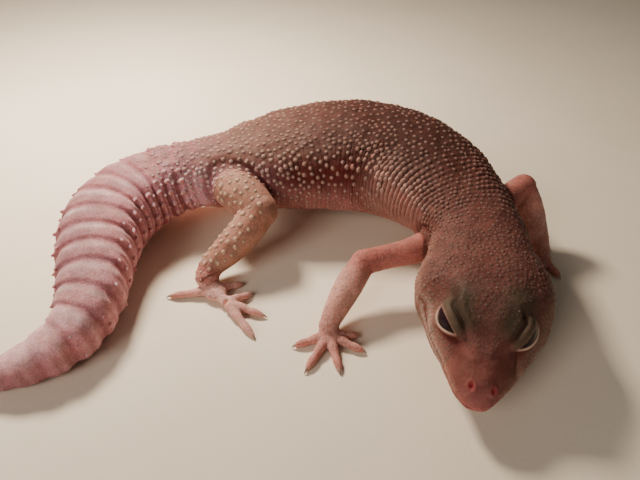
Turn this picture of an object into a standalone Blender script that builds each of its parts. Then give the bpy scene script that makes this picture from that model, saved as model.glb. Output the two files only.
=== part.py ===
"""Leopard gecko, life size, as a still model standing on a floor at Z = 0.

The animal faces -Y, its body curves round to +Y and its tail comes forward again at -X.
Dimensions are in millimetres, in a working plan whose middle is PLAN_CENTRE, and each
mesh is moved to the model's own origin and scaled to metres as it is made.
"""
import math

import bmesh
import bpy
import numpy as np
from mathutils import Vector

MM = 0.001
GAP = 0.3
PLAN_CENTRE = (-10.75, 101.4)

# Body stations from snout to tail tip: x, y, height of the axis, half width, rise, drop.
# On the head the axis is the level of the mouth.
HEAD_STATIONS = [
    (23.1, 54.2, 6.2, 0.6, 0.6, 0.5),
    (23.2, 54.7, 6.2, 1.6, 1.4, 1.2),
    (23.35, 55.7, 6.2, 2.6, 2.4, 1.8),
    (23.65, 57.2, 6.3, 3.8, 3.4, 2.2),
    (24.3, 59.6, 6.5, 5.3, 4.5, 2.6),
    (25.1, 62.6, 6.9, 7.2, 6.0, 3.0),
    (25.9, 66.0, 7.6, 9.15, 7.9, 3.4),
    (26.8, 69.6, 8.4, 10.9, 8.8, 3.7),
    (27.4, 73.4, 9.3, 11.7, 9.0, 4.1),
    (28.0, 77.4, 10.3, 11.3, 8.3, 4.7),
    (28.5, 82.0, 11.5, 9.8, 7.1, 5.4),
]
TRUNK_STATIONS = [
    (28.9, 87.6, 12.3, 9.2, 6.7, 6.0),
    (28.3, 92.0, 12.6, 9.6, 7.1, 6.6),
    (27.0, 96.8, 12.8, 10.6, 7.6, 7.3),
    (25.0, 102.0, 13.0, 11.9, 8.4, 8.4),
    (22.0, 107.4, 13.1, 13.3, 9.3, 9.5),
    (17.9, 112.2, 13.1, 14.6, 10.0, 10.2),
    (12.1, 115.9, 13.1, 15.4, 10.3, 10.4),
    (4.0, 117.3, 13.0, 15.5, 10.2, 10.3),
    (-4.5, 116.3, 12.8, 14.4, 9.5, 9.8),
    (-13.0, 114.0, 12.4, 12.2, 8.6, 8.6),
    (-20.5, 112.4, 11.8, 9.6, 7.6, 7.4),
]
TAIL_STATIONS = [
    (-27.0, 112.3, 10.9, 8.2, 7.2, 7.2),
    (-33.7, 110.4, 10.0, 8.5, 7.4, 7.8),
    (-39.1, 106.0, 9.3, 8.9, 7.7, 8.3),
    (-42.4, 99.6, 8.7, 8.8, 7.6, 8.7),
    (-43.0, 92.0, 8.0, 8.2, 7.3, 8.4),
    (-41.8, 84.0, 7.2, 7.1, 6.6, 7.7),
    (-40.9, 76.8, 6.2, 6.1, 5.7, 6.7),
    (-42.1, 70.6, 5.2, 5.0, 4.7, 5.6),
    (-46.0, 66.2, 4.2, 4.1, 3.8, 4.5),
    (-51.5, 63.8, 3.1, 3.1, 2.8, 3.4),
    (-58.0, 62.8, 2.1, 2.1, 1.9, 2.4),
    (-64.5, 63.2, 1.4, 1.3, 1.2, 1.6),
    (-70.0, 64.6, 0.8, 0.5, 0.5, 0.9),
]
BODY_STATIONS = HEAD_STATIONS + TRUNK_STATIONS + TAIL_STATIONS
SECTION_POWER = 2.3

# Stations, counted along BODY_STATIONS, at which the body is parted into nodes.
NAPE = 10.4
SHOULDER = 13.6
MID_TRUNK = 17.5
HIP_FRONT = 20.4
TAIL_ROOT = 22.3
TAIL_SECOND = 26.0
TAIL_THIRD = 29.5
TAIL_END = 34.0

# Tail whorls: rings of skin whose hind edges stand up.
WHORL_PITCH = 4.5
WHORL_DEPTH = 0.7
WHORL_EDGE = 0.88
WHORL_FIRST = 21.9
WHORL_LAST = 30.6

# Head details, along the body in station counts, across and up in millimetres.
EYE_STATION = 6.15
EYE_ACROSS = 4.8
EYE_ABOVE_MOUTH = 4.0
EYE_RADIUS = 3.0
BROW_STATION = 6.6
BROW_ANGLE = math.radians(62)
BROW_HEIGHT = 0.7
NOSTRIL_STATION = 2.5
NOSTRIL_ANGLE = math.radians(55)
NOSTRIL_RADIUS = 0.42
EAR_STATION = 9.7
EAR_ANGLE = math.radians(14)
EAR_SIZE = (1.3, 0.85, 1.6)

# Limb paths: x, y, z, radius. The upper one starts inside the trunk, the lower one at the elbow or knee.
ARM_RIGHT = [
    (24.5, 93.0, 10.2, 3.6),
    (18.5, 87.5, 9.6, 2.9),
    (13.0, 85.8, 9.2, 2.45),
    (8.0, 84.6, 8.7, 2.6),
]
FOREARM_RIGHT = [
    (8.0, 84.6, 8.7, 2.5),
    (5.3, 80.9, 6.4, 2.8),
    (3.0, 77.3, 4.2, 2.4),
    (1.6, 74.9, 2.7, 2.0),
]
ARM_LEFT = [
    (33.0, 94.5, 11.2, 3.6),
    (36.8, 99.2, 12.5, 2.9),
    (41.5, 103.2, 13.2, 2.75),
]
FOREARM_LEFT = [
    (41.5, 103.2, 13.2, 2.6),
    (43.3, 101.6, 9.2, 2.8),
    (44.6, 98.6, 5.4, 2.4),
    (45.4, 96.0, 2.8, 2.0),
]
THIGH_RIGHT = [
    (-19.0, 107.0, 12.0, 5.2),
    (-15.8, 102.2, 12.3, 4.8),
    (-12.1, 97.8, 11.0, 3.9),
]
SHANK_RIGHT = [
    (-12.1, 97.8, 11.0, 3.7),
    (-14.8, 94.2, 8.4, 3.6),
    (-18.4, 91.3, 5.7, 3.2),
    (-21.2, 88.9, 3.9, 2.6),
    (-22.0, 87.2, 2.9, 2.4),
]
THIGH_LEFT = [
    (-20.0, 117.0, 12.0, 5.2),
    (-17.4, 122.0, 11.3, 4.8),
    (-14.8, 127.5, 9.6, 4.0),
]
SHANK_LEFT = [
    (-14.8, 127.5, 9.6, 3.8),
    (-18.5, 130.8, 7.4, 3.6),
    (-23.0, 133.2, 5.3, 3.1),
    (-26.5, 135.2, 3.7, 2.6),
    (-28.0, 137.0, 2.8, 2.3),
]
FOOT_COUNT = 0.45
LIMB_SIDES = 12
INSTEP_SIDES = 8
TOE_SIDES = 5

# Soles: centre, half length and half width, the fork where the middle toes part, then the toe
# tips, inner toe first.
SOLE_HEIGHT = 2.6
HAND_RIGHT = (
    (1.6, 73.4), (2.2, 2.1), (1.6, 73.4),
    [(7.1, 73.9), (8.1, 70.0), (3.5, 65.4), (-2.6, 65.6), (-4.9, 71.4)],
)
HAND_LEFT = (
    (45.4, 95.0), (2.2, 2.1), (45.4, 95.0),
    [(40.2, 95.4), (40.9, 91.2), (43.8, 88.4), (47.9, 89.4), (48.4, 99.8)],
)
FOOT_RIGHT = (
    (-20.3, 85.0), (2.9, 2.4), (-17.6, 81.7),
    [(-14.9, 87.9), (-12.9, 85.0), (-9.8, 78.7), (-11.5, 73.3), (-29.5, 84.1)],
)
FOOT_LEFT = (
    (-27.2, 138.8), (2.9, 2.4), (-24.4, 141.5),
    [(-22.6, 136.2), (-19.8, 138.6), (-17.6, 144.0), (-21.2, 148.6), (-34.4, 142.6)],
)

# Along each toe from its root to the claw's tip: share of the length, height and radius.
TOE_SHAPE = [
    (0.0, 1.2, 0.9),
    (0.35, 1.1, 0.85),
    (0.6, 0.85, 0.75),
    (0.84, 0.6, 0.72),
    (0.93, 0.5, 0.42),
    (1.0, 0.3, 0.27),
]

# Height of the middle of the instep and its radius, over the sole's centre and at the fork.
INSTEP_CENTRE = (1.35, 1.3)
INSTEP_FORK = (1.15, 1.1)

# Colour, roughness of each finish.
FINISHES = {
    "head_skin": ((0.24, 0.10, 0.065), 0.6),
    "trunk_skin": ((0.26, 0.12, 0.085), 0.65),
    "tail_skin": ((0.42, 0.24, 0.21), 0.6),
    "limb_skin": ((0.40, 0.19, 0.14), 0.65),
    "eye_gloss": ((0.012, 0.006, 0.006), 0.12),
}


def clear_scene():
    """Remove whatever the file holds."""
    for old in list(bpy.data.objects):
        bpy.data.objects.remove(old, do_unlink=True)


def make_material(name):
    """A Principled material in the named finish."""
    colour, roughness = FINISHES[name]
    material = bpy.data.materials.new(name)
    material.use_nodes = True
    shader = material.node_tree.nodes["Principled BSDF"]
    shader.inputs["Base Color"].default_value = (*colour, 1.0)
    shader.inputs["Roughness"].default_value = roughness
    shader.inputs["Metallic"].default_value = 0.0
    return material


def to_metres(point):
    """A point of the working plan, in millimetres, as the model's own metres."""
    return ((point[0] - PLAN_CENTRE[0]) * MM, (point[1] - PLAN_CENTRE[1]) * MM, point[2] * MM)


def smooth_rows(stations, counts):
    """Rows of a smooth curve through the stations, at fractional station counts."""
    rows = np.array(stations, float)
    spans = np.linalg.norm(np.diff(rows[:, :3], axis=0), axis=1)
    along = np.concatenate([[0.0], np.cumsum(spans)])
    slopes = np.gradient(rows, along, axis=0)
    counts = np.asarray(counts, float)
    first = np.clip(counts.astype(int), 0, len(rows) - 2)
    s = (counts - first)[:, None]
    span = spans[first][:, None]
    start = (2 * s**3 - 3 * s**2 + 1) * rows[first] + (s**3 - 2 * s**2 + s) * span * slopes[first]
    end = (3 * s**2 - 2 * s**3) * rows[first + 1] + (s**3 - s**2) * span * slopes[first + 1]
    return start + end


def span_at(stations, count):
    """Length in millimetres of one station count, near this count."""
    first = min(int(count), len(stations) - 2)
    return math.dist(stations[first][:3], stations[first + 1][:3])


def counts_between(stations, start, end, rings, start_gap=GAP / 2, end_gap=GAP / 2):
    """Evenly spread counts from start to end, drawn in by the gaps at each end."""
    first = start + start_gap / span_at(stations, start)
    last = end - end_gap / span_at(stations, end)
    return np.linspace(first, last, rings)


def body_frames(counts):
    """Rows, tangents, sideways and upward directions of the body at the counts."""
    step = 0.02
    rows = smooth_rows(BODY_STATIONS, counts)
    ahead = smooth_rows(BODY_STATIONS, np.asarray(counts) + step)
    behind = smooth_rows(BODY_STATIONS, np.asarray(counts) - step)
    tangent = (ahead - behind)[:, :3]
    tangent /= np.linalg.norm(tangent, axis=1)[:, None]
    side = np.cross(tangent, (0.0, 0.0, 1.0))
    side /= np.linalg.norm(side, axis=1)[:, None]
    return rows, tangent, side, np.cross(side, tangent)


def body_point(row, side, up, angle, lift=0.0):
    """A point on the body's skin: angle 0 is its left, a quarter turn is its back."""
    cosine, sine = math.cos(angle), math.sin(angle)
    across = math.copysign(abs(cosine) ** (2 / SECTION_POWER), cosine)
    height = math.copysign(abs(sine) ** (2 / SECTION_POWER), sine)
    reach = row[4] if sine > 0 else row[5]
    return row[:3] + side * (row[3] + lift) * across + up * (reach + lift) * height


def brow_lift(count, angle):
    """Height of the swelling over each eye."""
    along = (count - BROW_STATION) / 0.75
    left = (angle - BROW_ANGLE) / 0.42
    right = (math.pi - angle - BROW_ANGLE) / 0.42
    return BROW_HEIGHT * math.exp(-along**2) * (math.exp(-left**2) + math.exp(-right**2))


def lengths_along(stations):
    """Length in millimetres from the first station to each station."""
    places = np.array(stations)[:, :3]
    return np.concatenate([[0.0], np.cumsum(np.linalg.norm(np.diff(places, axis=0), axis=1))])


def length_at(count):
    """Length along the body from the snout to a station count."""
    return float(np.interp(count, range(len(BODY_STATIONS)), lengths_along(BODY_STATIONS)))


def count_at(length):
    """Station count at a length along the body."""
    return float(np.interp(length, lengths_along(BODY_STATIONS), range(len(BODY_STATIONS))))


def whorl_lift(count):
    """How far the tail's skin drops below its raised edges: 0 at an edge, negative before it."""
    if not WHORL_FIRST <= count <= WHORL_LAST:
        return 0.0
    turn = (length_at(count) - length_at(WHORL_FIRST)) / WHORL_PITCH % 1.0
    fade = min(1.0, (WHORL_LAST - count) / 1.5)
    return -WHORL_DEPTH * fade * (1.0 - min(turn / WHORL_EDGE, 1.0))


def whorl_counts(start, end):
    """Counts of the low and the raised line of each whorl between two counts, with the ends."""
    counts = list(counts_between(BODY_STATIONS, start, end, 2))
    first = length_at(WHORL_FIRST)
    whorls = int((length_at(WHORL_LAST) - first) / WHORL_PITCH) + 1
    for whorl in range(whorls):
        for edge in (0.02, WHORL_EDGE):
            mark = count_at(first + (whorl + edge) * WHORL_PITCH)
            if start + 0.1 < mark < min(end - 0.1, WHORL_LAST):
                counts.append(mark)
    return sorted(counts)


def body_ring(count, angles, shift=0.0, lift=0.0, detail=None):
    """One closed ring of the body's skin, kept above the floor."""
    rows, _, sides, ups = body_frames([count])
    ring = []
    for angle in angles:
        extra = detail(count, angle) if detail else 0.0
        point = body_point(rows[0], sides[0], ups[0], angle, lift + extra) + ups[0] * shift
        point[2] = max(point[2], 0.0)
        ring.append(point)
    return ring


def bridge(mesh, rings):
    """Skin the rings in order and close both ends with fans about their middles."""
    loops = []
    for ring in rings:
        loops.append([mesh.verts.new(to_metres(point)) for point in ring])
    for lower, upper in zip(loops, loops[1:]):
        for i in range(len(lower)):
            j = (i + 1) % len(lower)
            mesh.faces.new((lower[i], lower[j], upper[j], upper[i]))
    for loop in (loops[0], loops[-1]):
        middle = mesh.verts.new(sum((vert.co for vert in loop), Vector()) / len(loop))
        for i in range(len(loop)):
            j = (i + 1) % len(loop)
            mesh.faces.new((loop[i], loop[j], middle))


def finish_mesh(mesh, name):
    """Turn a bmesh into mesh data with its faces pointing out."""
    bmesh.ops.recalc_face_normals(mesh, faces=mesh.faces)
    data = bpy.data.meshes.new(name)
    mesh.to_mesh(data)
    mesh.free()
    return data


def add_object(name, data, material, animal):
    """Place mesh data as an object whose origin is the middle of its box, under the animal's empty."""
    corners = np.array([vert.co for vert in data.vertices])
    middle = Vector((corners.min(axis=0) + corners.max(axis=0)) / 2)
    for vert in data.vertices:
        vert.co -= middle
    data.materials.clear()
    data.materials.append(material)
    data.shade_smooth()
    data.set_sharp_from_angle(angle=math.radians(40))
    obj = bpy.data.objects.new(name, data)
    obj.location = middle
    obj.parent = animal
    bpy.context.collection.objects.link(obj)
    return obj


def loft(rings, name="loft"):
    """A closed solid through the rings."""
    mesh = bmesh.new()
    bridge(mesh, rings)
    return finish_mesh(mesh, name)


def combine(base, others, operation):
    """Mesh data of base joined with, or cut by, the other meshes in turn."""
    body = bpy.data.objects.new("body", base)
    bpy.context.collection.objects.link(body)
    helpers = []
    for other in others:
        helper = bpy.data.objects.new("helper", other)
        helper.hide_render = True
        helper.display_type = "WIRE"
        bpy.context.collection.objects.link(helper)
        helpers.append(helper)
        step = body.modifiers.new("step", "BOOLEAN")
        step.operation = operation
        step.solver = "EXACT"
        step.object = helper
    graph = bpy.context.evaluated_depsgraph_get()
    result = bpy.data.meshes.new_from_object(body.evaluated_get(graph))
    for used in [body, *helpers]:
        bpy.data.objects.remove(used, do_unlink=True)
    return result


def full_turn(points):
    """Angles of a whole ring."""
    return [2 * math.pi * i / points for i in range(points)]


def body_length(start, end, rings, points, counts=None):
    """A plain length of the body between two station counts."""
    if counts is None:
        counts = counts_between(BODY_STATIONS, start, end, rings)
    return loft([body_ring(count, full_turn(points), lift=whorl_lift(count)) for count in counts])


def inflated_body(start, end):
    """The body's outline grown by the clearance, to cut limb roots with."""
    counts = np.linspace(start, end, 24)
    return loft([body_ring(count, full_turn(28), lift=GAP) for count in counts])


def ellipsoid(middle, radii, facing=None, sides=14, bands=8):
    """A closed ellipsoid; facing gives its first axis in plan."""
    mesh = bmesh.new()
    bmesh.ops.create_uvsphere(mesh, u_segments=sides, v_segments=bands, radius=1.0)
    turn = math.atan2(facing[1], facing[0]) if facing is not None else 0.0
    for vert in mesh.verts:
        x, y, z = vert.co.x * radii[0], vert.co.y * radii[1], vert.co.z * radii[2]
        across = x * math.cos(turn) - y * math.sin(turn)
        along = x * math.sin(turn) + y * math.cos(turn)
        vert.co = to_metres((middle[0] + across, middle[1] + along, middle[2] + z))
    return finish_mesh(mesh, "ellipsoid")


def head_marks():
    """Counts of the head's rings, closer together at the snout."""
    last = NAPE - GAP / 2 / span_at(BODY_STATIONS, NAPE)
    return [last * (i / 15) ** 1.2 for i in range(16)]


def eye_middle(hand):
    """Centre of one eyeball; hand is 1 for the left eye and -1 for the right."""
    rows, _, sides, ups = body_frames([EYE_STATION])
    return rows[0, :3] + sides[0] * EYE_ACROSS * hand + ups[0] * EYE_ABOVE_MOUTH


def build_head():
    """Upper head over the mouth line, with sockets for the eyes, nostrils and ear pits."""
    over = [math.pi * i / 18 for i in range(19)]
    rings = []
    for count in head_marks():
        ring = body_ring(count, over, shift=GAP / 2, detail=brow_lift)
        across = [ring[-1] + (ring[0] - ring[-1]) * i / 4 for i in range(1, 4)]
        rings.append(ring + across)
    cutters = []
    for hand in (1, -1):
        socket = EYE_RADIUS + GAP
        cutters.append(ellipsoid(eye_middle(hand), (socket, socket, socket)))
        cutters.append(pit(NOSTRIL_STATION, NOSTRIL_ANGLE, hand, [NOSTRIL_RADIUS] * 3))
        cutters.append(pit(EAR_STATION, EAR_ANGLE, hand, EAR_SIZE))
    return combine(loft(rings), cutters, "DIFFERENCE")


def pit(count, angle, hand, radii):
    """Cutter for a pit centred on the skin."""
    rows, _, sides, ups = body_frames([count])
    turn = angle if hand > 0 else math.pi - angle
    return ellipsoid(body_point(rows[0], sides[0], ups[0], turn), radii, sides[0], 8, 6)


def build_jaw():
    """Lower jaw and throat, under the mouth line."""
    under = [math.pi * (1 + i / 11) for i in range(12)]
    rings = []
    for count in head_marks():
        ring = body_ring(count, under, shift=-GAP / 2)
        across = [ring[-1] + (ring[0] - ring[-1]) * i / 3 for i in range(1, 3)]
        rings.append(ring + across)
    return loft(rings)


def limb_ring(row, tangent, side, points):
    """A round ring of a limb."""
    up = np.cross(side, tangent)
    ring = []
    for angle in full_turn(points):
        ring.append(row[:3] + row[3] * (side * math.cos(angle) + up * math.sin(angle)))
    return ring


def limb_rings(stations, counts, grow=0.0, sides=LIMB_SIDES):
    """Rings of a limb at the station counts."""
    rows = smooth_rows(stations, counts)
    rows[:, 3] += grow
    tangents = smooth_rows(stations, counts + 0.05) - smooth_rows(stations, counts - 0.05)
    side = np.array((0.3, -0.5, 1.0))
    rings = []
    for row, tangent in zip(rows, tangents[:, :3]):
        tangent = tangent / np.linalg.norm(tangent)
        side = side - tangent * np.dot(side, tangent)
        side = side / np.linalg.norm(side)
        rings.append(limb_ring(row, tangent, side, sides))
    return rings, tangent, side


def upper_limb(stations, grow=0.0):
    """Arm or thigh, ending in a round elbow or knee."""
    counts = np.linspace(0.0, len(stations) - 1, 2 * len(stations))
    rings, tangent, side = limb_rings(stations, counts, grow)
    x, y, z, radius = stations[-1]
    for turn in (25, 50, 72):
        ahead = math.sin(math.radians(turn)) * (radius + grow)
        row = np.array((x, y, z, math.cos(math.radians(turn)) * (radius + grow)))
        row[:3] += tangent * ahead
        rings.append(limb_ring(row, tangent, side, LIMB_SIDES))
    return loft(rings)


def lower_limb(upper, stations):
    """Forearm or shank, hollowed at its top round the elbow or knee."""
    counts = counts_between(stations, 0.0, len(stations) - 1 - FOOT_COUNT, 2 * len(stations), 0.0)
    rings, _, _ = limb_rings(stations, counts)
    return combine(loft(rings), [upper_limb(upper, GAP)], "DIFFERENCE")


def toe(root, tip):
    """One toe with its claw, from inside the sole to its tip."""
    root = np.array(root)
    tip = np.array(tip)
    heading = (tip - root) / np.linalg.norm(tip - root)
    tangent = np.array((heading[0], heading[1], 0.0))
    side = np.array((-heading[1], heading[0], 0.0))
    loops = []
    for along, height, radius in TOE_SHAPE:
        place = root + (tip - root) * along
        row = (np.array((place[0], place[1], height)), radius)
        loops.append([row[0] + row[1] * (side * math.cos(a) + np.cross(side, tangent) * math.sin(a))
                      for a in full_turn(TOE_SIDES)])
    return loft(loops)


def trim_to_floor(data):
    """Cut away what lies under the floor and close the flats that this leaves."""
    mesh = bmesh.new()
    mesh.from_mesh(data)
    geometry = [*mesh.verts, *mesh.edges, *mesh.faces]
    bmesh.ops.bisect_plane(mesh, geom=geometry, dist=1e-7, plane_co=(0, 0, 0), plane_no=(0, 0, 1),
                           clear_inner=True)
    rims = [edge for edge in mesh.edges if edge.is_boundary]
    bmesh.ops.holes_fill(mesh, edges=rims)
    bmesh.ops.triangulate(mesh, faces=mesh.faces)
    return finish_mesh(mesh, "trimmed")


def instep(ankle, sole):
    """The back of a hand or foot, from inside the ankle over the sole to the fork of the toes."""
    middle, _, fork, _ = sole
    stations = [ankle, (*middle, *INSTEP_CENTRE)]
    if fork != middle:
        stations.append((*fork, *INSTEP_FORK))
    counts = np.linspace(0.4, len(stations) - 1, 2 * len(stations) - 2)
    return loft(limb_rings(stations, counts, sides=INSTEP_SIDES)[0])


def foot(limb, sole):
    """A hand or foot: the end of the limb, the sole and its five toes, flat on the floor."""
    middle, (half_length, half_width), fork, tips = sole
    counts = counts_between(limb, len(limb) - 1 - FOOT_COUNT, len(limb) - 1, 3, end_gap=0.0)
    ankle = loft(limb_rings(limb, counts)[0])
    facing = np.array(middle) - np.array(limb[-1][:2])
    radii = (half_length, half_width, SOLE_HEIGHT / 2)
    pad = ellipsoid((*middle, SOLE_HEIGHT / 2 - 0.1), radii, facing, 10, 6)
    toes = []
    for root, tip in zip((middle, fork, fork, fork, middle), tips):
        toward = (np.array(tip) - np.array(root)) / math.dist(tip, root)
        toes.append(toe(np.array(root) + toward * 0.6, tip))
    return trim_to_floor(combine(ankle, [pad, instep(limb[-1], sole), *toes], "UNION"))


def build_axis(materials, animal):
    """Head, neck, trunk and tail."""
    add_object("head_upper", build_head(), materials["head_skin"], animal)
    add_object("head_lower_jaw", build_jaw(), materials["head_skin"], animal)
    for hand, name in ((1, "eye_left"), (-1, "eye_right")):
        ball = ellipsoid(eye_middle(hand), [EYE_RADIUS] * 3)
        add_object(name, ball, materials["eye_gloss"], animal)
    lengths = [
        ("neck", NAPE, SHOULDER, 7),
        ("trunk_chest", SHOULDER, MID_TRUNK, 8),
        ("trunk_belly", MID_TRUNK, HIP_FRONT, 7),
        ("trunk_hips", HIP_FRONT, TAIL_ROOT, 5),
    ]
    for name, start, end, rings in lengths:
        add_object(name, body_length(start, end, rings, 24), materials["trunk_skin"], animal)
    tail = [("tail_base", TAIL_ROOT, TAIL_SECOND), ("tail_middle", TAIL_SECOND, TAIL_THIRD)]
    for name, start, end in tail:
        data = body_length(start, end, 0, 18, whorl_counts(start, end))
        add_object(name, data, materials["tail_skin"], animal)
    counts = counts_between(BODY_STATIONS, TAIL_THIRD, TAIL_END, 11, end_gap=0.0)
    tip = body_length(TAIL_THIRD, TAIL_END, 0, 16, counts)
    add_object("tail_tip", tip, materials["tail_skin"], animal)


def build_limb(names, upper, lower, sole, stretch, material, animal):
    """Upper limb fitted to a stretch of the trunk, lower limb and foot."""
    trunk = inflated_body(*stretch)
    top = combine(upper_limb(upper), [trunk], "DIFFERENCE")
    pieces = (top, lower_limb(upper, lower), foot(lower, sole))
    for name, data in zip(names, pieces):
        add_object(name, data, material, animal)


def build_limbs(material, animal):
    """Both arms and both hind legs."""
    shoulders = (8.5, 17.0)
    hips = (18.5, 24.0)
    build_limb(("arm_right", "forearm_right", "hand_right"),
               ARM_RIGHT, FOREARM_RIGHT, HAND_RIGHT, shoulders, material, animal)
    build_limb(("arm_left", "forearm_left", "hand_left"),
               ARM_LEFT, FOREARM_LEFT, HAND_LEFT, shoulders, material, animal)
    build_limb(("thigh_right", "shank_right", "foot_right"),
               THIGH_RIGHT, SHANK_RIGHT, FOOT_RIGHT, hips, material, animal)
    build_limb(("thigh_left", "shank_left", "foot_left"),
               THIGH_LEFT, SHANK_LEFT, FOOT_LEFT, hips, material, animal)


def main():
    """Build the animal."""
    clear_scene()
    animal = bpy.data.objects.new("leopard_gecko", None)
    bpy.context.collection.objects.link(animal)
    materials = {name: make_material(name) for name in FINISHES}
    build_axis(materials, animal)
    build_limbs(materials["limb_skin"], animal)


main()
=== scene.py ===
"""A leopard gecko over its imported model: one skin, its scales, eyes and claws, on a pale floor.

Lengths are millimetres in the working plan of the CAD, whose middle is PLAN_CENTRE, until a
mesh is made; in_frame() then gives metres in the frame.
"""
import itertools
import math

import bmesh
import bpy
import numpy as np
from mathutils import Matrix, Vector
from mathutils.kdtree import KDTree


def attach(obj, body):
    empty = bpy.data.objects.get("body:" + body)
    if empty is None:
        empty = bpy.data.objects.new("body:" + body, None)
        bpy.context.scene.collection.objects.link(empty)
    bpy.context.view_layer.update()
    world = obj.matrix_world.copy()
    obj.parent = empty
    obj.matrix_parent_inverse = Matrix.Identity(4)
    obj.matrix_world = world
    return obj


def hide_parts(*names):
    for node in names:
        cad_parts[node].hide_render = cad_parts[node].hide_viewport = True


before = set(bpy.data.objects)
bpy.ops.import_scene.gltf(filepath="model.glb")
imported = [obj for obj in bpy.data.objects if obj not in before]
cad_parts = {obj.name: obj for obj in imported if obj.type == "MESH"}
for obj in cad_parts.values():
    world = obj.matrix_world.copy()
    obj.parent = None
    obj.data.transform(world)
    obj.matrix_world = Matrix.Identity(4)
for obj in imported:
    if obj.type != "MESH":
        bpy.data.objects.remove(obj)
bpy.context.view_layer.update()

MM = 0.001
PLAN_CENTRE = np.array((-10.75, 101.4, 0.0))

# Body stations from snout to tail tip: x, y, height of the axis, half width, rise, drop.
BODY_STATIONS = [
    (23.1, 54.2, 6.2, 0.6, 0.6, 0.5),
    (23.2, 54.7, 6.2, 1.6, 1.4, 1.2),
    (23.35, 55.7, 6.2, 2.6, 2.4, 1.8),
    (23.65, 57.2, 6.3, 3.8, 3.4, 2.2),
    (24.3, 59.6, 6.5, 5.3, 4.5, 2.6),
    (25.1, 62.6, 6.9, 7.2, 6.0, 3.0),
    (25.9, 66.0, 7.6, 9.15, 7.9, 3.4),
    (26.8, 69.6, 8.4, 10.9, 8.8, 3.7),
    (27.4, 73.4, 9.3, 11.7, 9.0, 4.1),
    (28.0, 77.4, 10.3, 11.3, 8.3, 4.7),
    (28.5, 82.0, 11.5, 9.8, 7.1, 5.4),
    (28.9, 87.6, 12.3, 9.2, 6.7, 6.0),
    (28.3, 92.0, 12.6, 9.6, 7.1, 6.6),
    (27.0, 96.8, 12.8, 10.6, 7.6, 7.3),
    (25.0, 102.0, 13.0, 11.9, 8.4, 8.4),
    (22.0, 107.4, 13.1, 13.3, 9.3, 9.5),
    (17.9, 112.2, 13.1, 14.6, 10.0, 10.2),
    (12.1, 115.9, 13.1, 15.4, 10.3, 10.4),
    (4.0, 117.3, 13.0, 15.5, 10.2, 10.3),
    (-4.5, 116.3, 12.8, 14.4, 9.5, 9.8),
    (-13.0, 114.0, 12.4, 12.2, 8.6, 8.6),
    (-20.5, 112.4, 11.8, 9.6, 7.6, 7.4),
    (-27.0, 112.3, 10.9, 8.2, 7.2, 7.2),
    (-33.7, 110.4, 10.0, 8.5, 7.4, 7.8),
    (-39.1, 106.0, 9.3, 8.9, 7.7, 8.3),
    (-42.4, 99.6, 8.7, 8.8, 7.6, 8.7),
    (-43.0, 92.0, 8.0, 8.2, 7.3, 8.4),
    (-41.8, 84.0, 7.2, 7.1, 6.6, 7.7),
    (-40.9, 76.8, 6.2, 6.1, 5.7, 6.7),
    (-42.1, 70.6, 5.2, 5.0, 4.7, 5.6),
    (-46.0, 66.2, 4.2, 4.1, 3.8, 4.5),
    (-51.5, 63.8, 3.1, 3.1, 2.8, 3.4),
    (-58.0, 62.8, 2.1, 2.1, 1.9, 2.4),
    (-64.5, 63.2, 1.4, 1.3, 1.2, 1.6),
    (-70.0, 64.6, 0.8, 0.5, 0.5, 0.9),
]

# The power of the rounded squares that the body's sections are.
SECTION_POWER = 2.3
LAST_COUNT = len(BODY_STATIONS) - 1

# Limbs: x, y, z, radius along the upper and the lower one, then the sole's middle, its half
# length and width and, on a long foot, its fork, and last the toe tips.
LIMBS = {
    "arm_right": (
        [(24.5, 93.0, 10.2, 3.6), (18.5, 87.5, 9.6, 2.9), (13.0, 85.8, 9.2, 2.45), (8.0, 84.6, 8.7, 2.6)],
        [(8.0, 84.6, 8.7, 2.5), (5.3, 80.9, 6.4, 2.8), (3.0, 77.3, 4.2, 2.4), (1.6, 74.9, 2.7, 2.0)],
        (1.6, 73.4, 2.2, 2.1),
        [(7.1, 73.9), (8.1, 70.0), (3.5, 65.4), (-2.6, 65.6), (-4.9, 71.4)],
    ),
    "arm_left": (
        [(33.0, 94.5, 11.2, 3.6), (36.8, 99.2, 12.5, 2.9), (41.5, 103.2, 13.2, 2.75)],
        [(41.5, 103.2, 13.2, 2.6), (43.3, 101.6, 9.2, 2.8), (44.6, 98.6, 5.4, 2.4), (45.4, 96.0, 2.8, 2.0)],
        (45.4, 95.0, 2.2, 2.1),
        [(40.2, 95.4), (40.9, 91.2), (43.8, 88.4), (47.9, 89.4), (48.4, 99.8)],
    ),
    "leg_right": (
        [(-19.0, 107.0, 12.0, 5.2), (-15.8, 102.2, 12.3, 4.8), (-12.1, 97.8, 11.0, 3.9)],
        [(-12.1, 97.8, 11.0, 3.7), (-14.8, 94.2, 8.4, 3.6), (-18.4, 91.3, 5.7, 3.2),
         (-21.2, 88.9, 3.9, 2.6), (-22.0, 87.2, 2.9, 2.4)],
        (-20.3, 85.0, 2.9, 2.4, -17.6, 81.7),
        [(-14.9, 87.9), (-12.9, 85.0), (-9.8, 78.7), (-11.5, 73.3), (-29.5, 84.1)],
    ),
    "leg_left": (
        [(-20.0, 117.0, 12.0, 5.2), (-17.4, 122.0, 11.3, 4.8), (-14.8, 127.5, 9.6, 4.0)],
        [(-14.8, 127.5, 9.6, 3.8), (-18.5, 130.8, 7.4, 3.6), (-23.0, 133.2, 5.3, 3.1),
         (-26.5, 135.2, 3.7, 2.6), (-28.0, 137.0, 2.8, 2.3)],
        (-27.2, 138.8, 2.9, 2.4, -24.4, 141.5),
        [(-22.6, 136.2), (-19.8, 138.6), (-17.6, 144.0), (-21.2, 148.6), (-34.4, 142.6)],
    ),
}

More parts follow.
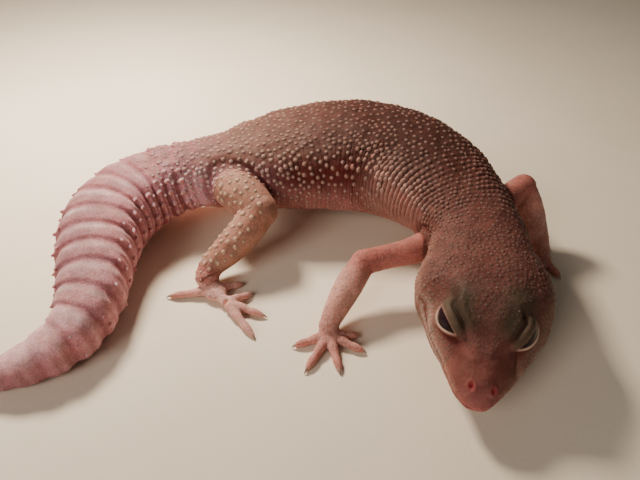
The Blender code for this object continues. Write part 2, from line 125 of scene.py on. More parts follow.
# A toe: part of its length, height of its axis and radius; and where its claw starts.
TOE_SHAPE = [(0.0, 1.25, 1.05), (0.3, 1.1, 0.85), (0.55, 0.85, 0.72), (0.8, 0.7, 0.66), (0.92, 0.5, 0.4)]
CLAW_START = 0.84

# Sections of a limb, as its samples number them, and the number of the first leg.
UPPER, LOWER, SOLE, TOE = range(4)
FIRST_LEG = 2

# Skin: how far it lies inside the outline of the body, the limbs and the soles, the size of its
# mesh, and the lowest that it may reach.
SKIN_DEPTH = 0.35
LIMB_DEPTH = 0.2
SOLE_DEPTH = 0.05
VOXEL = 0.25
LOWEST = 0.02

LIMB_PARTS = ("arm", "forearm", "hand", "thigh", "shank", "foot")
FLESH = [
    "head_upper", "head_lower_jaw", "neck", "trunk_chest", "trunk_belly", "trunk_hips",
    "tail_base", "tail_middle", "tail_tip",
    *(f"{part}_{hand}" for part in LIMB_PARTS for hand in ("right", "left")),
]

# The tail's whorls: their pitch, the station of the first one and the small ribs on each.
WHORL_PITCH = 4.5
WHORL_FIRST = 21.9
WHORL_RIBS = 3

# Rings of scales on the body: their pitch along it and how many scales each has, by station.
PITCHES = ((8.0, 11.0, 14.0, 18.0, 20.0, 22.0), (0.9, 1.0, 1.3, 1.4, 1.15, 1.2))
AROUND = ((9.0, 11.0, 15.0, 19.0, 22.0), (38, 38, 34, 32, 26))

# Eyes, 1 being the left and -1 the right. The head leans left, which carries the left one further
# out. Then the ball's radii along its opening, across it and outwards, and the directions outwards
# and along the opening, each in parts to the side, towards the tail and up.
EYE_STATION = 6.15
EYE_ACROSS = {1: 4.95, -1: 4.55}
EYE_ABOVE_AXIS = 4.0
EYE_RADII = (3.2, 3.0, 2.8)
EYE_OUT = {1: (0.70, -0.54, 0.40), -1: (0.62, -0.44, 0.55)}
EYE_ALONG = {1: (0.47, 0.80, 0.38), -1: (0.85, 0.72, 0.38)}
EYE_REACH = 7.5

# The eye's opening: half its length, its reach above and below its long axis, how blunt its ends
# are, and how much deeper it is towards its rear.
LID_LENGTH = 2.8
LID_RISE = 0.6
LID_DROP = 1.5
LID_POWER = 0.85
LID_SKEW = 0.35

# The leaning head lowers the mouth line by this much on its left, and lifts it on its right. Then
# the pitch of the lips' scales, and where the nostrils and the ear openings are.
HEAD_LEAN = 0.9
LIP_SCALE = 1.3
NOSTRIL_STATION = 2.3
NOSTRIL_ANGLES = (math.radians(45), math.radians(110))
EAR_STATION = 9.7
EAR_ANGLES = (math.radians(14), math.radians(166))

# Forms of the skull, on both its sides: height, station and its reach, angle and its reach.
SKULL = [
    (-0.4, 4.4, 1.0, 0.8, 0.28),  # hollow beside the snout
    (-0.1, 5.2, 1.5, math.pi / 2, 0.15),  # furrow along the snout's top
    (0.3, 8.3, 1.2, 0.35, 0.35),  # muscle of the jaw
    (-0.25, 8.0, 0.8, 0.95, 0.22),  # dip behind the brow
    (0.6, 6.6, 0.75, math.radians(62), 0.42),  # brow
]

# Where the mesh is made finer: the head's limits in plan, clear of the hand beside it, and the
# ball about each eye.
HEAD_REAR = 79.0
HEAD_RIGHT = 12.0
HAND_CLEARANCE = 11.0
EYE_FINE = 5.4

# Colours, as linear red, green and blue.
# Along the body the colours are lightest at the hips and darken towards the head: partly the animal's own
# tone, partly painted shade, the falloff of a lamp near the hips.
HIP = (0.2, 0.105, 0.085)
BACK = (0.076, 0.031, 0.025)
CHEST = (0.066, 0.027, 0.021)
NECK = (0.15, 0.068, 0.056)
# The flank's dark red is partly its own and partly painted shade of the side turned from the light.
FLANK = (0.13, 0.03, 0.026)
# FLANK_LOW and BELLY are light partly in their own tone and partly with painted light on the lower sides,
# which the lamps reach little.
FLANK_LOW = (0.4, 0.185, 0.175)
PLEAT = (0.36, 0.205, 0.175)
BELLY = (0.5, 0.26, 0.21)
CROWN = (0.16, 0.065, 0.053)
SNOUT = (0.185, 0.072, 0.06)
SNOUT_TIP = (0.3, 0.115, 0.105)
CHEEK = (0.3, 0.155, 0.118)
LIP = (0.26, 0.13, 0.098)
LIP_EDGE = (0.48, 0.3, 0.24)
BROW = (0.08, 0.062, 0.042)
LID = (0.105, 0.077, 0.052)
LID_RIM = (0.46, 0.32, 0.25)
# Painted shade in the groove above each eye.
LID_GROOVE_SHADE = (0.035, 0.016, 0.01)
NOSTRIL = (0.34, 0.035, 0.045)
TAIL = (0.395, 0.205, 0.225)
# The pale front of each whorl: partly the tail's own pale patches, partly a painted highlight on the whorls'
# lit tops.
TAIL_PALE = (0.6, 0.45, 0.45)
# TAIL_END and TAIL_INNER are light partly in their own pink and partly with painted light on the tail's end
# and inner side, which the lamps reach little.
TAIL_END = (0.8, 0.52, 0.55)
TAIL_INNER = (0.8, 0.43, 0.49)
# Painted shade at the whorls' edges and in the valleys between their ribs.
TAIL_EDGE_SHADE = (0.42, 0.16, 0.19)
# The forearm is lighter than the upper arm partly with painted light: lit and shaded copies of one skin.
ARM = (0.44, 0.175, 0.145)
FOREARM = (0.66, 0.37, 0.31)
HAND = (0.56, 0.3, 0.255)
LEG = (0.46, 0.26, 0.195)
ANKLE = (0.45, 0.13, 0.105)
FOOT = (0.65, 0.4, 0.35)
# Painted shade: the dark red of the creases, that is the mouth line, ear openings, folds, rings of skin,
# whorls' edges and where the limbs meet the body.
CREASE_SHADE = (0.085, 0.014, 0.01)
SCALE_TIP = (0.62, 0.42, 0.34)
LEG_TIP = (0.8, 0.51, 0.34)
EYE_DARK = (0.012, 0.005, 0.005)
EYE_BLOOM = (0.026, 0.015, 0.02)
CLAW_ROOT = (0.46, 0.29, 0.23)
CLAW_TIP = (0.2, 0.14, 0.11)
FLOOR_COLOUR = (0.87, 0.78, 0.62)
FLOOR_PALE = (0.91, 0.82, 0.66)

# Colours of the back and the sides by station; their darkening from the hips towards the head is partly
# painted shade.
BACK_STOPS = ((9, 11.5, 14.5, 17.5, 20.5, 24, 27, 30), (CROWN, NECK, CHEST, BACK, HIP, TAIL, TAIL, TAIL_END))
SIDE_STOPS = ((9, 12, 15, 19.5, 22, 25), (CROWN, NECK, FLANK, FLANK, TAIL_INNER, TAIL))


# ---------------- body measure


def normalised(vectors):
    """Vectors of length one."""
    return vectors / np.maximum(np.linalg.norm(vectors, axis=-1, keepdims=True), 1e-9)


def rise(low, high, values):
    """0 below low, 1 above high and a smooth rise between them."""
    t = np.clip((values - low) / (high - low), 0.0, 1.0)
    return t * t * (3 - 2 * t)


def fall(low, high, values):
    """1 below low, 0 above high and a smooth fall between them."""
    return 1 - rise(low, high, values)


def window(start, full, fade, end, values):
    """0 outside start to end, 1 from full to fade, and smooth between."""
    return rise(start, full, values) * fall(fade, end, values)


def signed_power(values, power):
    """A power of the values' sizes, with their signs."""
    return np.sign(values) * np.abs(values) ** power


def bump(values, middle, width):
    """A bell of height one."""
    return np.exp(-(((values - middle) / width) ** 2))


def both_sides(angles, angle, width):
    """A bell about this angle on both sides of the body."""
    return bump(angles, angle, width) + bump(angles, math.pi - angle, width)


def turns(sides):
    """Angles of even steps around a circle."""
    return np.linspace(0, 2 * math.pi, sides, endpoint=False)


def smooth_rows(stations, counts):
    """Rows of a smooth curve through the stations, at fractional station counts."""
    rows = np.array(stations, float)
    spans = np.linalg.norm(np.diff(rows[:, :3], axis=0), axis=1)
    along = np.concatenate([[0.0], np.cumsum(spans)])
    slopes = np.gradient(rows, along, axis=0)
    counts = np.asarray(counts, float)
    first = np.clip(counts.astype(int), 0, len(rows) - 2)
    s = (counts - first)[:, None]
    span = spans[first][:, None]
    start = (2 * s**3 - 3 * s**2 + 1) * rows[first] + (s**3 - 2 * s**2 + s) * span * slopes[first]
    end = (3 * s**2 - 2 * s**3) * rows[first + 1] + (s**3 - s**2) * span * slopes[first + 1]
    return start + end


TABLE_STEP = 0.01


class Spine:
    """The body's axis, sampled finely: rows, tangents, sideways and upward directions."""

    counts = np.arange(0.0, LAST_COUNT + TABLE_STEP / 2, TABLE_STEP)
    rows = smooth_rows(BODY_STATIONS, counts)
    before = smooth_rows(BODY_STATIONS, counts - 2 * TABLE_STEP)
    after = smooth_rows(BODY_STATIONS, counts + 2 * TABLE_STEP)
    tangent = normalised((after - before)[:, :3])
    side = normalised(np.cross(tangent, (0.0, 0.0, 1.0)))
    up = np.cross(side, tangent)
    along = np.concatenate([[0.0], np.cumsum(np.linalg.norm(np.diff(rows[:, :3], axis=0), axis=1))])
    speed = np.gradient(along, counts)
    ring = np.concatenate([[0.0], np.cumsum(np.diff(along) / np.interp(counts, *PITCHES)[1:])])
    tail_start = float(np.interp(WHORL_FIRST, counts, along))


def at(table, counts):
    """Values of a spine table at fractional counts."""
    place = np.clip(np.asarray(counts, float) / TABLE_STEP, 0, len(Spine.counts) - 1.001)
    low = place.astype(int)
    part = place - low
    if table.ndim > 1:
        part = part[:, None]
    return table[low] * (1 - part) + table[low + 1] * part


def body_surface(counts, angles, lift=0.0):
    """Points on the body's outline: angle 0 is its left, a quarter turn is its back."""
    rows = at(Spine.rows, counts)
    sine = np.sin(angles)
    across = signed_power(np.cos(angles), 2 / SECTION_POWER) * (rows[:, 3] + lift)
    reach = np.where(sine > 0, rows[:, 4], rows[:, 5]) + lift
    height = signed_power(sine, 2 / SECTION_POWER) * reach
    return rows[:, :3] + at(Spine.side, counts) * across[:, None] + at(Spine.up, counts) * height[:, None]


def skin_depth(counts, angles):
    """How far the skin lies inside the body's outline, which leaves room for its scales."""
    depth = SKIN_DEPTH * rise(1.0, 8.0, counts) * (1 - 0.4 * rise(22, 30, counts))
    depth = (depth + 0.1) * fall(30, LAST_COUNT + 1, counts)
    return depth * (0.35 + 0.65 * rise(-0.9, 0.1, np.sin(angles)))


def reach_from_axis(points, counts, direction):
    """How far points lie from the body's axis at these counts, along one of the spine's directions."""
    offset = points - at(Spine.rows, counts)[:, :3]
    return (offset * at(direction, counts)).sum(axis=1)


def locate_on_body(points):
    """Station count, angle and distance outside the body's outline, for each point."""
    stride, block = 20, 20000
    coarse = Spine.rows[::stride, :3]
    counts = np.empty(len(points))
    for first in range(0, len(points), block):
        gaps = ((points[first:first + block, None, :] - coarse[None]) ** 2).sum(axis=2)
        counts[first:first + block] = gaps.argmin(axis=1) * stride * TABLE_STEP
    for _ in range(10):
        step = reach_from_axis(points, counts, Spine.tangent) / at(Spine.speed, counts)
        counts = np.clip(counts + 0.8 * step, 0.0, LAST_COUNT)
    rows = at(Spine.rows, counts)
    across = reach_from_axis(points, counts, Spine.side) / rows[:, 3]
    height = reach_from_axis(points, counts, Spine.up)
    height = height / np.where(height > 0, rows[:, 4], rows[:, 5])
    half = SECTION_POWER / 2
    angles = np.arctan2(signed_power(height, half), signed_power(across, half))
    angles = np.where(angles < -math.pi / 2, angles + 2 * math.pi, angles)
    ratio = (np.abs(across) ** SECTION_POWER + np.abs(height) ** SECTION_POWER) ** (1 / SECTION_POWER)
    outside = np.linalg.norm(points - rows[:, :3], axis=1) * (1 - 1 / np.maximum(ratio, 1e-6))
    return counts, angles, outside


def waves(points, size, seed, number=18):
    """A smooth random field of about -1 to 1, whose lumps are about this size in mm."""
    rng = np.random.default_rng(seed)
    directions = normalised(rng.normal(size=(number, 3)))
    lengths = size * rng.uniform(1.4, 3.0, number)
    phases = rng.uniform(0, 2 * math.pi, number)
    total = np.zeros(len(points))
    for direction, length, phase in zip(directions, lengths, phases):
        total += np.cos(points @ direction * (2 * math.pi / length) + phase)
    return total / (number / 4)


def nearest(places, points):
    """Number of the place closest to each point, and its distance."""
    tree = KDTree(len(places))
    for number, place in enumerate(places):
        tree.insert(place, number)
    tree.balance()
    found = np.array([tree.find(point)[1:] for point in points])
    return found[:, 0].astype(int), found[:, 1]


# ---------------- base form


def tube(rings):
    """Points and faces of a closed tube through rings of equal size."""
    rings = np.array(rings)
    count, sides = rings.shape[:2]
    points = np.concatenate([rings.reshape(-1, 3), rings[:1].mean(axis=1), rings[-1:].mean(axis=1)])
    faces = []
    for low in range(0, (count - 1) * sides, sides):
        for j in range(sides):
            k = (j + 1) % sides
            faces.append((low + j, low + k, low + sides + k, low + sides + j))
    last = (count - 1) * sides
    for j in range(sides):
        k = (j + 1) % sides
        faces.append((j, count * sides, k))
        faces.append((last + j, last + k, count * sides + 1))
    return points, faces


def round_rings(rows, sides=20):
    """Round rings about a path of x, y, z, radius."""
    rows = np.array(rows)
    side = np.array((0.3, -0.5, 1.0))
    turn = turns(sides)
    rings = []
    for row, tangent in zip(rows, normalised(np.gradient(rows[:, :3], axis=0))):
        side = side - tangent * (side @ tangent)
        side = side / np.linalg.norm(side)
        up = np.cross(side, tangent)
        rings.append(row[:3] + row[3] * (np.outer(np.cos(turn), side) + np.outer(np.sin(turn), up)))
    return rings


def ellipsoid(middle, axes, radii, sides=24, rings=12, reach=0.49):
    """Points and faces of an ellipsoid in rings about its third axis; reach, in half turns, is the
    tilt of the last ring."""
    turn = turns(sides)
    flat = np.outer(np.cos(turn) * radii[0], axes[0]) + np.outer(np.sin(turn) * radii[1], axes[1])
    tilts = np.linspace(-reach * math.pi, reach * math.pi, rings)
    pole = np.array(axes[2]) * radii[2]
    return tube([np.array(middle) + flat * math.cos(tilt) + pole * math.sin(tilt) for tilt in tilts])


def body_form():
    """The body from snout to tail tip, ringed more closely at the snout."""
    angles = turns(72) - math.pi / 2
    counts = np.concatenate([np.linspace(0.0, 3.0, 24), np.linspace(3.1, LAST_COUNT, 360)])
    stations = [np.full(len(angles), count) for count in counts]
    return tube([body_surface(station, angles, -skin_depth(station, angles)) for station in stations])


def limb_path(stations, spacing=0.4):
    """A limb's rows at even spacing in mm."""
    length = np.linalg.norm(np.diff(np.array(stations)[:, :3], axis=0), axis=1).sum()
    return smooth_rows(stations, np.linspace(0, len(stations) - 1, int(length / spacing)))


def sole_stations(ankle, sole):
    """Stations from the ankle down to the sole's middle and, on a long foot, on to its fork."""
    middle = sole[:2]
    between = np.array(ankle[:2]) * 0.4 + np.array(middle) * 0.6
    fork = [(*sole[4:6], 1.15, 1.1)] if len(sole) > 4 else []
    return [ankle, (*between, 1.9, 1.75), (*middle, 1.35, 1.3), *fork]


def toe_path(root, tip):
    """Rows of one toe from inside the sole to the root of its claw."""
    root, tip = np.array(root), np.array(tip)
    root = root + (tip - root) / np.linalg.norm(tip - root) * 0.6
    shape = np.array(TOE_SHAPE)
    along = np.linspace(0, shape[-1, 0], 24)
    height = np.interp(along, shape[:, 0], shape[:, 1])
    radius = np.interp(along, shape[:, 0], shape[:, 2])
    radius = radius * (1 + 0.08 * np.cos(along * 6 * math.pi))
    return np.column_stack([root + np.outer(along, tip - root), height, radius])


def toe_roots(sole):
    """Where each of the five toes starts: the three middle ones at the fork of a long foot."""
    middle = sole[:2]
    fork = sole[4:6] if len(sole) > 4 else middle
    return [middle, fork, fork, fork, middle]


def sole_ball(ankle, sole):
    """The pad of a sole, its length along the foot."""
    heading = normalised(np.array((sole[0] - ankle[0], sole[1] - ankle[1], 0.0)))
    across = np.array((-heading[1], heading[0], 0.0))
    return ellipsoid((*sole[:2], 1.25), (heading, across, (0, 0, 1)), (*sole[2:4], 1.25))


def limb_forms():
    """Limbs, soles and toes, and their paths as samples: x, y, z, radius, section, limb, place."""
    forms, samples = [], []
    for number, (upper, lower, sole, tips) in enumerate(LIMBS.values()):
        elbow, ankle = upper[-1], lower[-1]
        depths = (LIMB_DEPTH, LIMB_DEPTH, SOLE_DEPTH)
        paths = []
        for section, stations in enumerate((upper, lower, sole_stations(ankle, sole))):
            path = limb_path(stations)
            path[:, 3] -= depths[section]
            forms.append(tube(round_rings(path)))
            paths.append((section, path))
        for place, radius in ((elbow[:3], elbow[3]), ((*ankle[:2], ankle[2] - 0.2), ankle[3])):
            forms.append(ellipsoid(place, np.eye(3), [radius - LIMB_DEPTH] * 3))
        forms.append(sole_ball(ankle, sole))
        for root, tip in zip(toe_roots(sole), tips):
            path = toe_path(root, tip)
            forms.append(tube(round_rings(path, 16)))
            paths.append((TOE, path))
        for section, path in paths:
            places = np.linspace(0, 1, len(path))
            samples.extend((*row, section, number, place) for row, place in zip(path, places))
    return forms, np.array(samples)


def make_mesh(name, points, faces):
    """Mesh data from points and faces."""
    mesh = bpy.data.meshes.new(name)
    mesh.from_pydata(np.asarray(points).tolist(), [], faces)
    mesh.update()
    return mesh


def joined(forms):
    """Several closed forms as one list of points and one of faces."""
    points, faces, base = [], [], 0
    for part, part_faces in forms:
        points.append(part)
        faces.extend(tuple(i + base for i in face) for face in part_faces)
        base += len(part)
    return np.concatenate(points), faces


def placed(name, data):
    """A new object in the scene."""
    obj = bpy.data.objects.new(name, data)
    bpy.context.collection.objects.link(obj)
    return obj


def remeshed(points, faces):
    """The outer surface of overlapping closed forms, as an even mesh."""
    holder = placed("holder", make_mesh("holder", points, faces))
    step = holder.modifiers.new("remesh", "REMESH")
    step.mode = "VOXEL"
    step.voxel_size = VOXEL
    graph = bpy.context.evaluated_depsgraph_get()
    mesh = bpy.data.meshes.new_from_object(holder.evaluated_get(graph))
    bpy.data.objects.remove(holder, do_unlink=True)
    return mesh


def points_of(mesh):
    """Vertex places as an array."""
    flat = np.empty(len(mesh.vertices) * 3)
    mesh.vertices.foreach_get("co", flat)
    return flat.reshape(-1, 3)


def edges_of(mesh):
    """Vertex pairs of the edges."""
    flat = np.empty(len(mesh.edges) * 2, int)
    mesh.edges.foreach_get("vertices", flat)
    return flat.reshape(-1, 2)


def refine(mesh, wanted):
    """Divide the mesh's edges between vertices whose places are wanted."""
    keep = wanted(points_of(mesh))
    work = bmesh.new()
    work.from_mesh(mesh)
    work.verts.ensure_lookup_table()
    edges = [edge for edge in work.edges if keep[edge.verts[0].index] and keep[edge.verts[1].index]]
    bmesh.ops.subdivide_edges(work, edges=edges, cuts=1, use_grid_fill=True)
    work.to_mesh(mesh)
    work.free()


def smoothed(points, edges, rounds, weight=None):
    """Points drawn to the mean of their neighbours, by their weights; with no weights, every second
    round lets them out again, so that little shrinks."""
    counts = np.bincount(edges.ravel(), minlength=len(points))[:, None]
    first, second = edges[:, 0], edges[:, 1]
    shares = (0.55, -0.5) if weight is None else (0.5, 0.5)
    amount = 1.0 if weight is None else weight[:, None]
    for turn in range(rounds):
        mean = np.empty_like(points)
        for axis in range(3):
            mean[:, axis] = np.bincount(first, points[second, axis], len(points))
            mean[:, axis] += np.bincount(second, points[first, axis], len(points))
        points = points + shares[turn % 2] * amount * (mean / counts - points)
    return points


def vertex_normals(mesh, points):
    """Unit normals of the mesh, once its vertices are moved to these places."""
    mesh.vertices.foreach_set("co", points.ravel())
    mesh.update()
    flat = np.empty(len(points) * 3)
    mesh.vertex_normals.foreach_get("vector", flat)
    return flat.reshape(-1, 3)


# ---------------- eyes and lids


def eye_frame(hand):
    """Centre of an eyeball, and the directions out of it, along the opening and up across it."""
    count = np.array([EYE_STATION])
    side, up, tangent = at(Spine.side, count)[0], at(Spine.up, count)[0], at(Spine.tangent, count)[0]
    centre = at(Spine.rows, count)[0, :3] + side * EYE_ACROSS[hand] * hand + up * EYE_ABOVE_AXIS
    axes = np.array((side * hand, tangent, up))
    out = normalised(np.array(EYE_OUT[hand]) @ axes)
    along = np.array(EYE_ALONG[hand]) @ axes
    along = normalised(along - out * (along @ out))
    above = np.cross(out, along)
    return centre, out, along, above * (1.0 if above @ up > 0 else -1.0)


def eyeball_reach(direction, axes):
    """Distance from the eye's centre to the ball's surface along each direction."""
    parts = [(direction @ axis / radius) ** 2 for axis, radius in zip(axes, EYE_RADII)]
    return 1 / np.sqrt(sum(parts))


def lid_height(across, upper):
    """How far the opening reaches above, or below, its long axis."""
    share = np.clip(across / LID_LENGTH, -1, 1)
    height = np.where(upper, LID_RISE, LID_DROP * (1 + LID_SKEW * share))
    return height * (1 - share**2) ** LID_POWER


def lid_distance(across, above):
    """Signed distance on the ball, in mm, from the edge of the eye's opening."""
    turn = turns(160)
    edge_across = LID_LENGTH * np.cos(turn)
    upper = np.sin(turn) > 0
    edge_above = np.where(upper, 1, -1) * lid_height(edge_across, upper)
    gaps = np.hypot(across[:, None] - edge_across, above[:, None] - edge_above).min(axis=1)
    inside = (np.abs(above) < lid_height(across, above > 0)) & (np.abs(across) < LID_LENGTH)
    return np.where(inside, -gaps, gaps)


def shape_lids(points, marks, hand):
    """Mould the skin about one eye into its lids, and note their rim, band and creases; the groove over the
    eye and the fold under it take painted shade.
    """
    centre, out, along, above = eye_frame(hand)
    offset = points - centre
    reach = np.linalg.norm(offset, axis=1)
    near = np.flatnonzero((reach < EYE_REACH) & (offset @ out > -1.5))
    direction = offset[near] / reach[near, None]
    ball = eyeball_reach(direction, (along, above, out))

    # Places on the ball in mm: u towards the opening's rear, v over its long axis.
    tilt = np.arccos(np.clip(direction @ out, -1, 1))
    turn = np.arctan2(direction @ above, direction @ along)
    u, v = EYE_RADII[1] * tilt * np.cos(turn), EYE_RADII[1] * tilt * np.sin(turn)
    from_eye = np.hypot(u, v)
    gap = lid_distance(u, v)
    upper = rise(-0.9, 0.5, v + 0.45 * rise(1.2, 2.6, u))
    band = gap * (1 - 0.3 * rise(1.0, 3.0, u))
    on_ball = fall(3.4, 4.6, from_eye)

    # The lids lie on the ball, with a round rim, and give way to the skull past the band's edge.
    rim = (0.26 - 0.04 * upper) * np.sqrt(np.clip(1 - (1 - np.clip(gap / 0.35, 0, 1)) ** 2, 0, 1))
    sunk = -0.8 * rise(0.0, 0.35, -gap)
    swell = 0.24 * np.sin(math.pi * np.clip((band - 0.25) / 1.7, 0, 1)) * upper
    edge = 0.75 + 0.95 * upper
    hold = fall(edge, edge + 1.1, band) * on_ball
    new_reach = hold * (ball + rim + sunk + swell) + (1 - hold) * reach[near]
    groove = bump(band, 1.95, 0.4) * upper * rise(-3.6, -2.0, u) * on_ball
    fold = bump(gap, 0.95, 0.34) * (1 - upper) * fall(-0.6, 1.2, u)
    ridge = bump(band, 2.8, 0.4) * upper * on_ball
    new_reach += 0.18 * ridge - 0.4 * groove - 0.35 * fold
    new_reach = np.where(gap > 0.12, np.maximum(new_reach, ball + 0.1), new_reach)
    points[near] = centre + direction * new_reach[:, None]

    rim_width = 0.3 - 0.16 * fall(-0.5, 1.5, u)
    ends = np.maximum(rise(0.6, 2.0, u), fall(-2.8, -1.6, u))
    smooth_edge = 0.9 + 1.4 * upper
    found = {
        "rim": bump(np.maximum(gap - 0.14, 0), 0, rim_width) * (gap > -0.3) * (1 - 0.75 * upper),
        "lid": rise(0.15, 0.5, gap) * fall(1.5, 1.9, band) * upper,
        "ease": window(2.9, 3.6, 5.4, 6.6, from_eye) * ends,
        # The groove and the fold take painted shade.
        "groove": groove,
        "crease": fold,
        "bare": fall(smooth_edge, smooth_edge + 0.4, band) * fall(3.0, 3.6, from_eye),
    }
    found["lid"] *= fall(2.8, 3.7, from_eye)
    for name, values in found.items():
        marks[name][near] = np.maximum(marks[name][near], values)


# ---------------- relief


def whorl_edge(phase, before, after):
    """A line at the edge of each whorl, of these widths before and after it."""
    return np.maximum(bump(phase, 1.0, before), bump(phase, 0.0, after))


def tail_relief(counts, angles, points):
    """Whorls: each swells behind a creased hollow and ends in an edge over the next. Gives their lift, the
    masks of painted shade in their creases and at their edges, and their pale crest, which is partly a
    painted highlight."""
    whorl = (at(Spine.along, counts) - Spine.tail_start) / WHORL_PITCH
    whorl = whorl + 0.05 * waves(points, 6, 5)
    phase = whorl % 1.0
    strength = window(21.4, 22.6, 28.5, 32.5, counts)
    flank = fall(0.35, 0.95, np.sin(angles))
    swell = window(-0.05, 0.42, 0.78, 1.02, phase) * (0.8 + 0.2 * phase)
    inner = window(2.2, 3.0, 3.9, 4.4, angles) * strength
    valley = 0.5 - 0.5 * np.cos(2 * math.pi * whorl * WHORL_RIBS)
    lift = (0.34 + 0.3 * flank) * strength * (swell - 1.0) - 0.16 * inner * valley
    crease = np.maximum(0.6 * whorl_edge(phase, 0.09, 0.07) * strength, 0.6 * inner * valley**2)
    crease *= fall(23.0, 25.5, counts) * flank
    # Painted shade at the whorls' edges, and below in the valleys of the inner side.
    flush = whorl_edge(phase, 0.16, 0.12) * strength * (0.45 + 0.5 * flank)
    # The pale crest: partly the tail's own, partly a painted highlight.
    pale = strength * bump(phase, 0.28, 0.2) * rise(22.0, 25.5, counts)
    return lift, crease, np.maximum(flush, 0.5 * inner * valley), pale


def ring_phase(counts, angles):
    """Number of the ring of scales at each place; whole numbers are the rings' crests."""
    along = at(Spine.along, counts)
    wobble = 0.45 * np.sin(1.7 * angles + 0.23 * along) + 0.25 * np.sin(3.1 * angles - 0.41 * along + 1.0)
    return at(Spine.ring, counts) + wobble / 1.6


def fold_strength(counts, angles):
    """How hard the skin is pressed into folds on the inner side of the body's curve."""
    front, rear = window(11.6, 13.6, 16.2, 18.0, counts), window(16.0, 18.0, 20.6, 22.0, counts)
    return window(1.9, 2.7, 3.95, 4.3, angles) * (front + 0.3 * rear)


def fold_relief(counts, angles, points):
    """Upright folds with narrow valleys on the inner side of the body's curve: their lift, and the mask of
    painted shade in the valleys.
    """
    crest = np.abs(np.cos(math.pi * (ring_phase(counts, angles) + 0.12 * waves(points, 2.5, 12)))) ** 0.8
    strength = fold_strength(counts, angles) * (0.8 + 0.3 * np.clip(waves(points, 6, 13), -1, 1))
    return 0.48 * strength * (crest - 0.75), 0.8 * np.clip(strength, 0, 1) * fall(0.05, 0.5, crest)


def neck_relief(counts, angles, points):
    """Rings of loose skin on the neck and over the shoulders: their lift, and the mask of painted shade
    between them.
    """
    crest = np.abs(np.cos(math.pi * (ring_phase(counts, angles) + 0.15 * waves(points, 3, 21))))
    strength = window(9.8, 11.0, 13.0, 15.5, counts) * (0.6 + 0.5 * np.clip(waves(points, 6, 22), -1, 1))
    return 0.16 * strength * (crest - 0.7), 0.45 * strength * fall(0.1, 0.5, crest)


def mouth_height(counts, angles):
    """Height of the mouth line over the body's axis: it climbs to its corner; the head leans left."""
    climb = 0.9 * rise(4.4, 6.4, counts) + rise(6.2, 8.0, counts)
    climb -= 0.55 * fall(1.5, 5.0, counts)
    return climb - HEAD_LEAN * np.cos(angles) * rise(2.0, 6.0, counts)


def mouth_relief(counts, angles, points):
    """The mouth line and its lips, notched between their scales: their lift, the mask of painted shade in the
    line and its notches, and their pale edge.
    """
    height = reach_from_axis(points, counts, Spine.up) - mouth_height(counts, angles)
    jaw = fall(6.9, 8.0, counts)
    line = bump(height, 0.0, 0.2) * jaw
    notch = bump((at(Spine.along, counts) / LIP_SCALE) % 1.0, 0.5, 0.1) * jaw * rise(1.6, 2.2, counts)
    notch *= bump(height, 0.7, 0.45) + 0.7 * bump(height, -0.65, 0.45)
    lift = (0.16 * bump(height, 0.55, 0.35) + 0.12 * bump(height, -0.6, 0.4)) * jaw
    pale = (bump(height, 0.6, 0.4) + bump(height, -0.6, 0.4)) * jaw * rise(2.0, 4.5, counts)
    return lift - 0.36 * line - 0.06 * notch, np.maximum(0.9 * line, 0.22 * notch), pale


def opening_distance(points, station, angle, stretch):
    """Distance from a place on the head, stretched by a factor along each axis."""
    middle = body_surface(np.array([station]), np.array([angle]))[0]
    return np.linalg.norm((points - middle) * np.array(stretch), axis=1)


def head_relief(counts, angles, points):
    """Mouth, nostrils, ears and skull: their lift, the mask of painted shade in the mouth line and the ear
    openings, pits and pale lips.
    """
    lift, crease, pale = mouth_relief(counts, angles, points)
    pit = np.zeros(len(points))
    for angle in NOSTRIL_ANGLES:
        gap = opening_distance(points, NOSTRIL_STATION, angle, (1.25, 0.85, 1.0))
        lift += 0.12 * bump(gap, 0.75, 0.35) - 0.4 * bump(gap, 0, 0.34)
        pit = np.maximum(pit, bump(gap, 0, 0.5))
    for angle in EAR_ANGLES:
        gap = opening_distance(points, EAR_STATION, angle, (1.0, 1.15, 0.75))
        lift += 0.2 * bump(gap, 1.35, 0.4) - 1.4 * bump(gap, 0, 0.75)
        crease = np.maximum(crease, bump(gap, 0, 0.85))
    for height, station, length, angle, width in SKULL:
        lift += height * bump(counts, station, length) * both_sides(angles, angle, width)
    lift += 0.05 * waves(points, 1.6, 31)
    on_head = fall(9.6, 10.6, counts)
    return lift * on_head, crease * on_head, pit, pale * on_head


def limb_relief(skin):
    """Fold where a limb meets the body, and rings of skin at the elbow, ankle and toes. Gives their lift, the
    mask of painted shade in that fold and between the hind ankles' rings, and the share of the hind ankles."""
    section, place, leg = skin.section, skin.place, skin.limb >= FIRST_LEG
    rooted = bump(skin.limb_gap, 0.45, 0.65) * bump(skin.outside, -0.1, 0.9)
    ankle = (section == LOWER) * rise(0.72, 0.88, place)
    ankle = ankle + (section == SOLE) * fall(0.2, 0.6, place)
    elbow = (section == UPPER) * rise(0.8, 0.95, place)
    elbow = elbow + (section == LOWER) * fall(0.05, 0.16, place)
    crest = np.abs(np.cos(math.pi * place * np.where(section == TOE, 9, 13))) ** 0.7
    wrinkled = (0.16 * ankle * np.where(leg, 1.0, 0.35) + 0.07 * elbow) * skin.limb_share
    wrinkled = wrinkled + 0.05 * (section == TOE)
    lift = wrinkled * (crest - 0.6) - 0.55 * rooted * (1 - skin.limb_share)
    hind = ankle * leg * skin.limb_share
    return lift, np.maximum(0.85 * rooted, 0.75 * hind * fall(0.35, 0.85, crest)), hind


# ---------------- markings


def painted(ground, coats):
    """Ground colours under coats of (colour, share), vertex by vertex."""
    for colour, share in coats:
        ground = ground + (np.asarray(colour) - ground) * np.clip(share, 0, 1)[:, None]
    return ground


def along_body(counts, stations, colours):
    """Colours blended between those of the stations."""
    return np.column_stack([np.interp(counts, stations, channel) for channel in zip(*colours)])


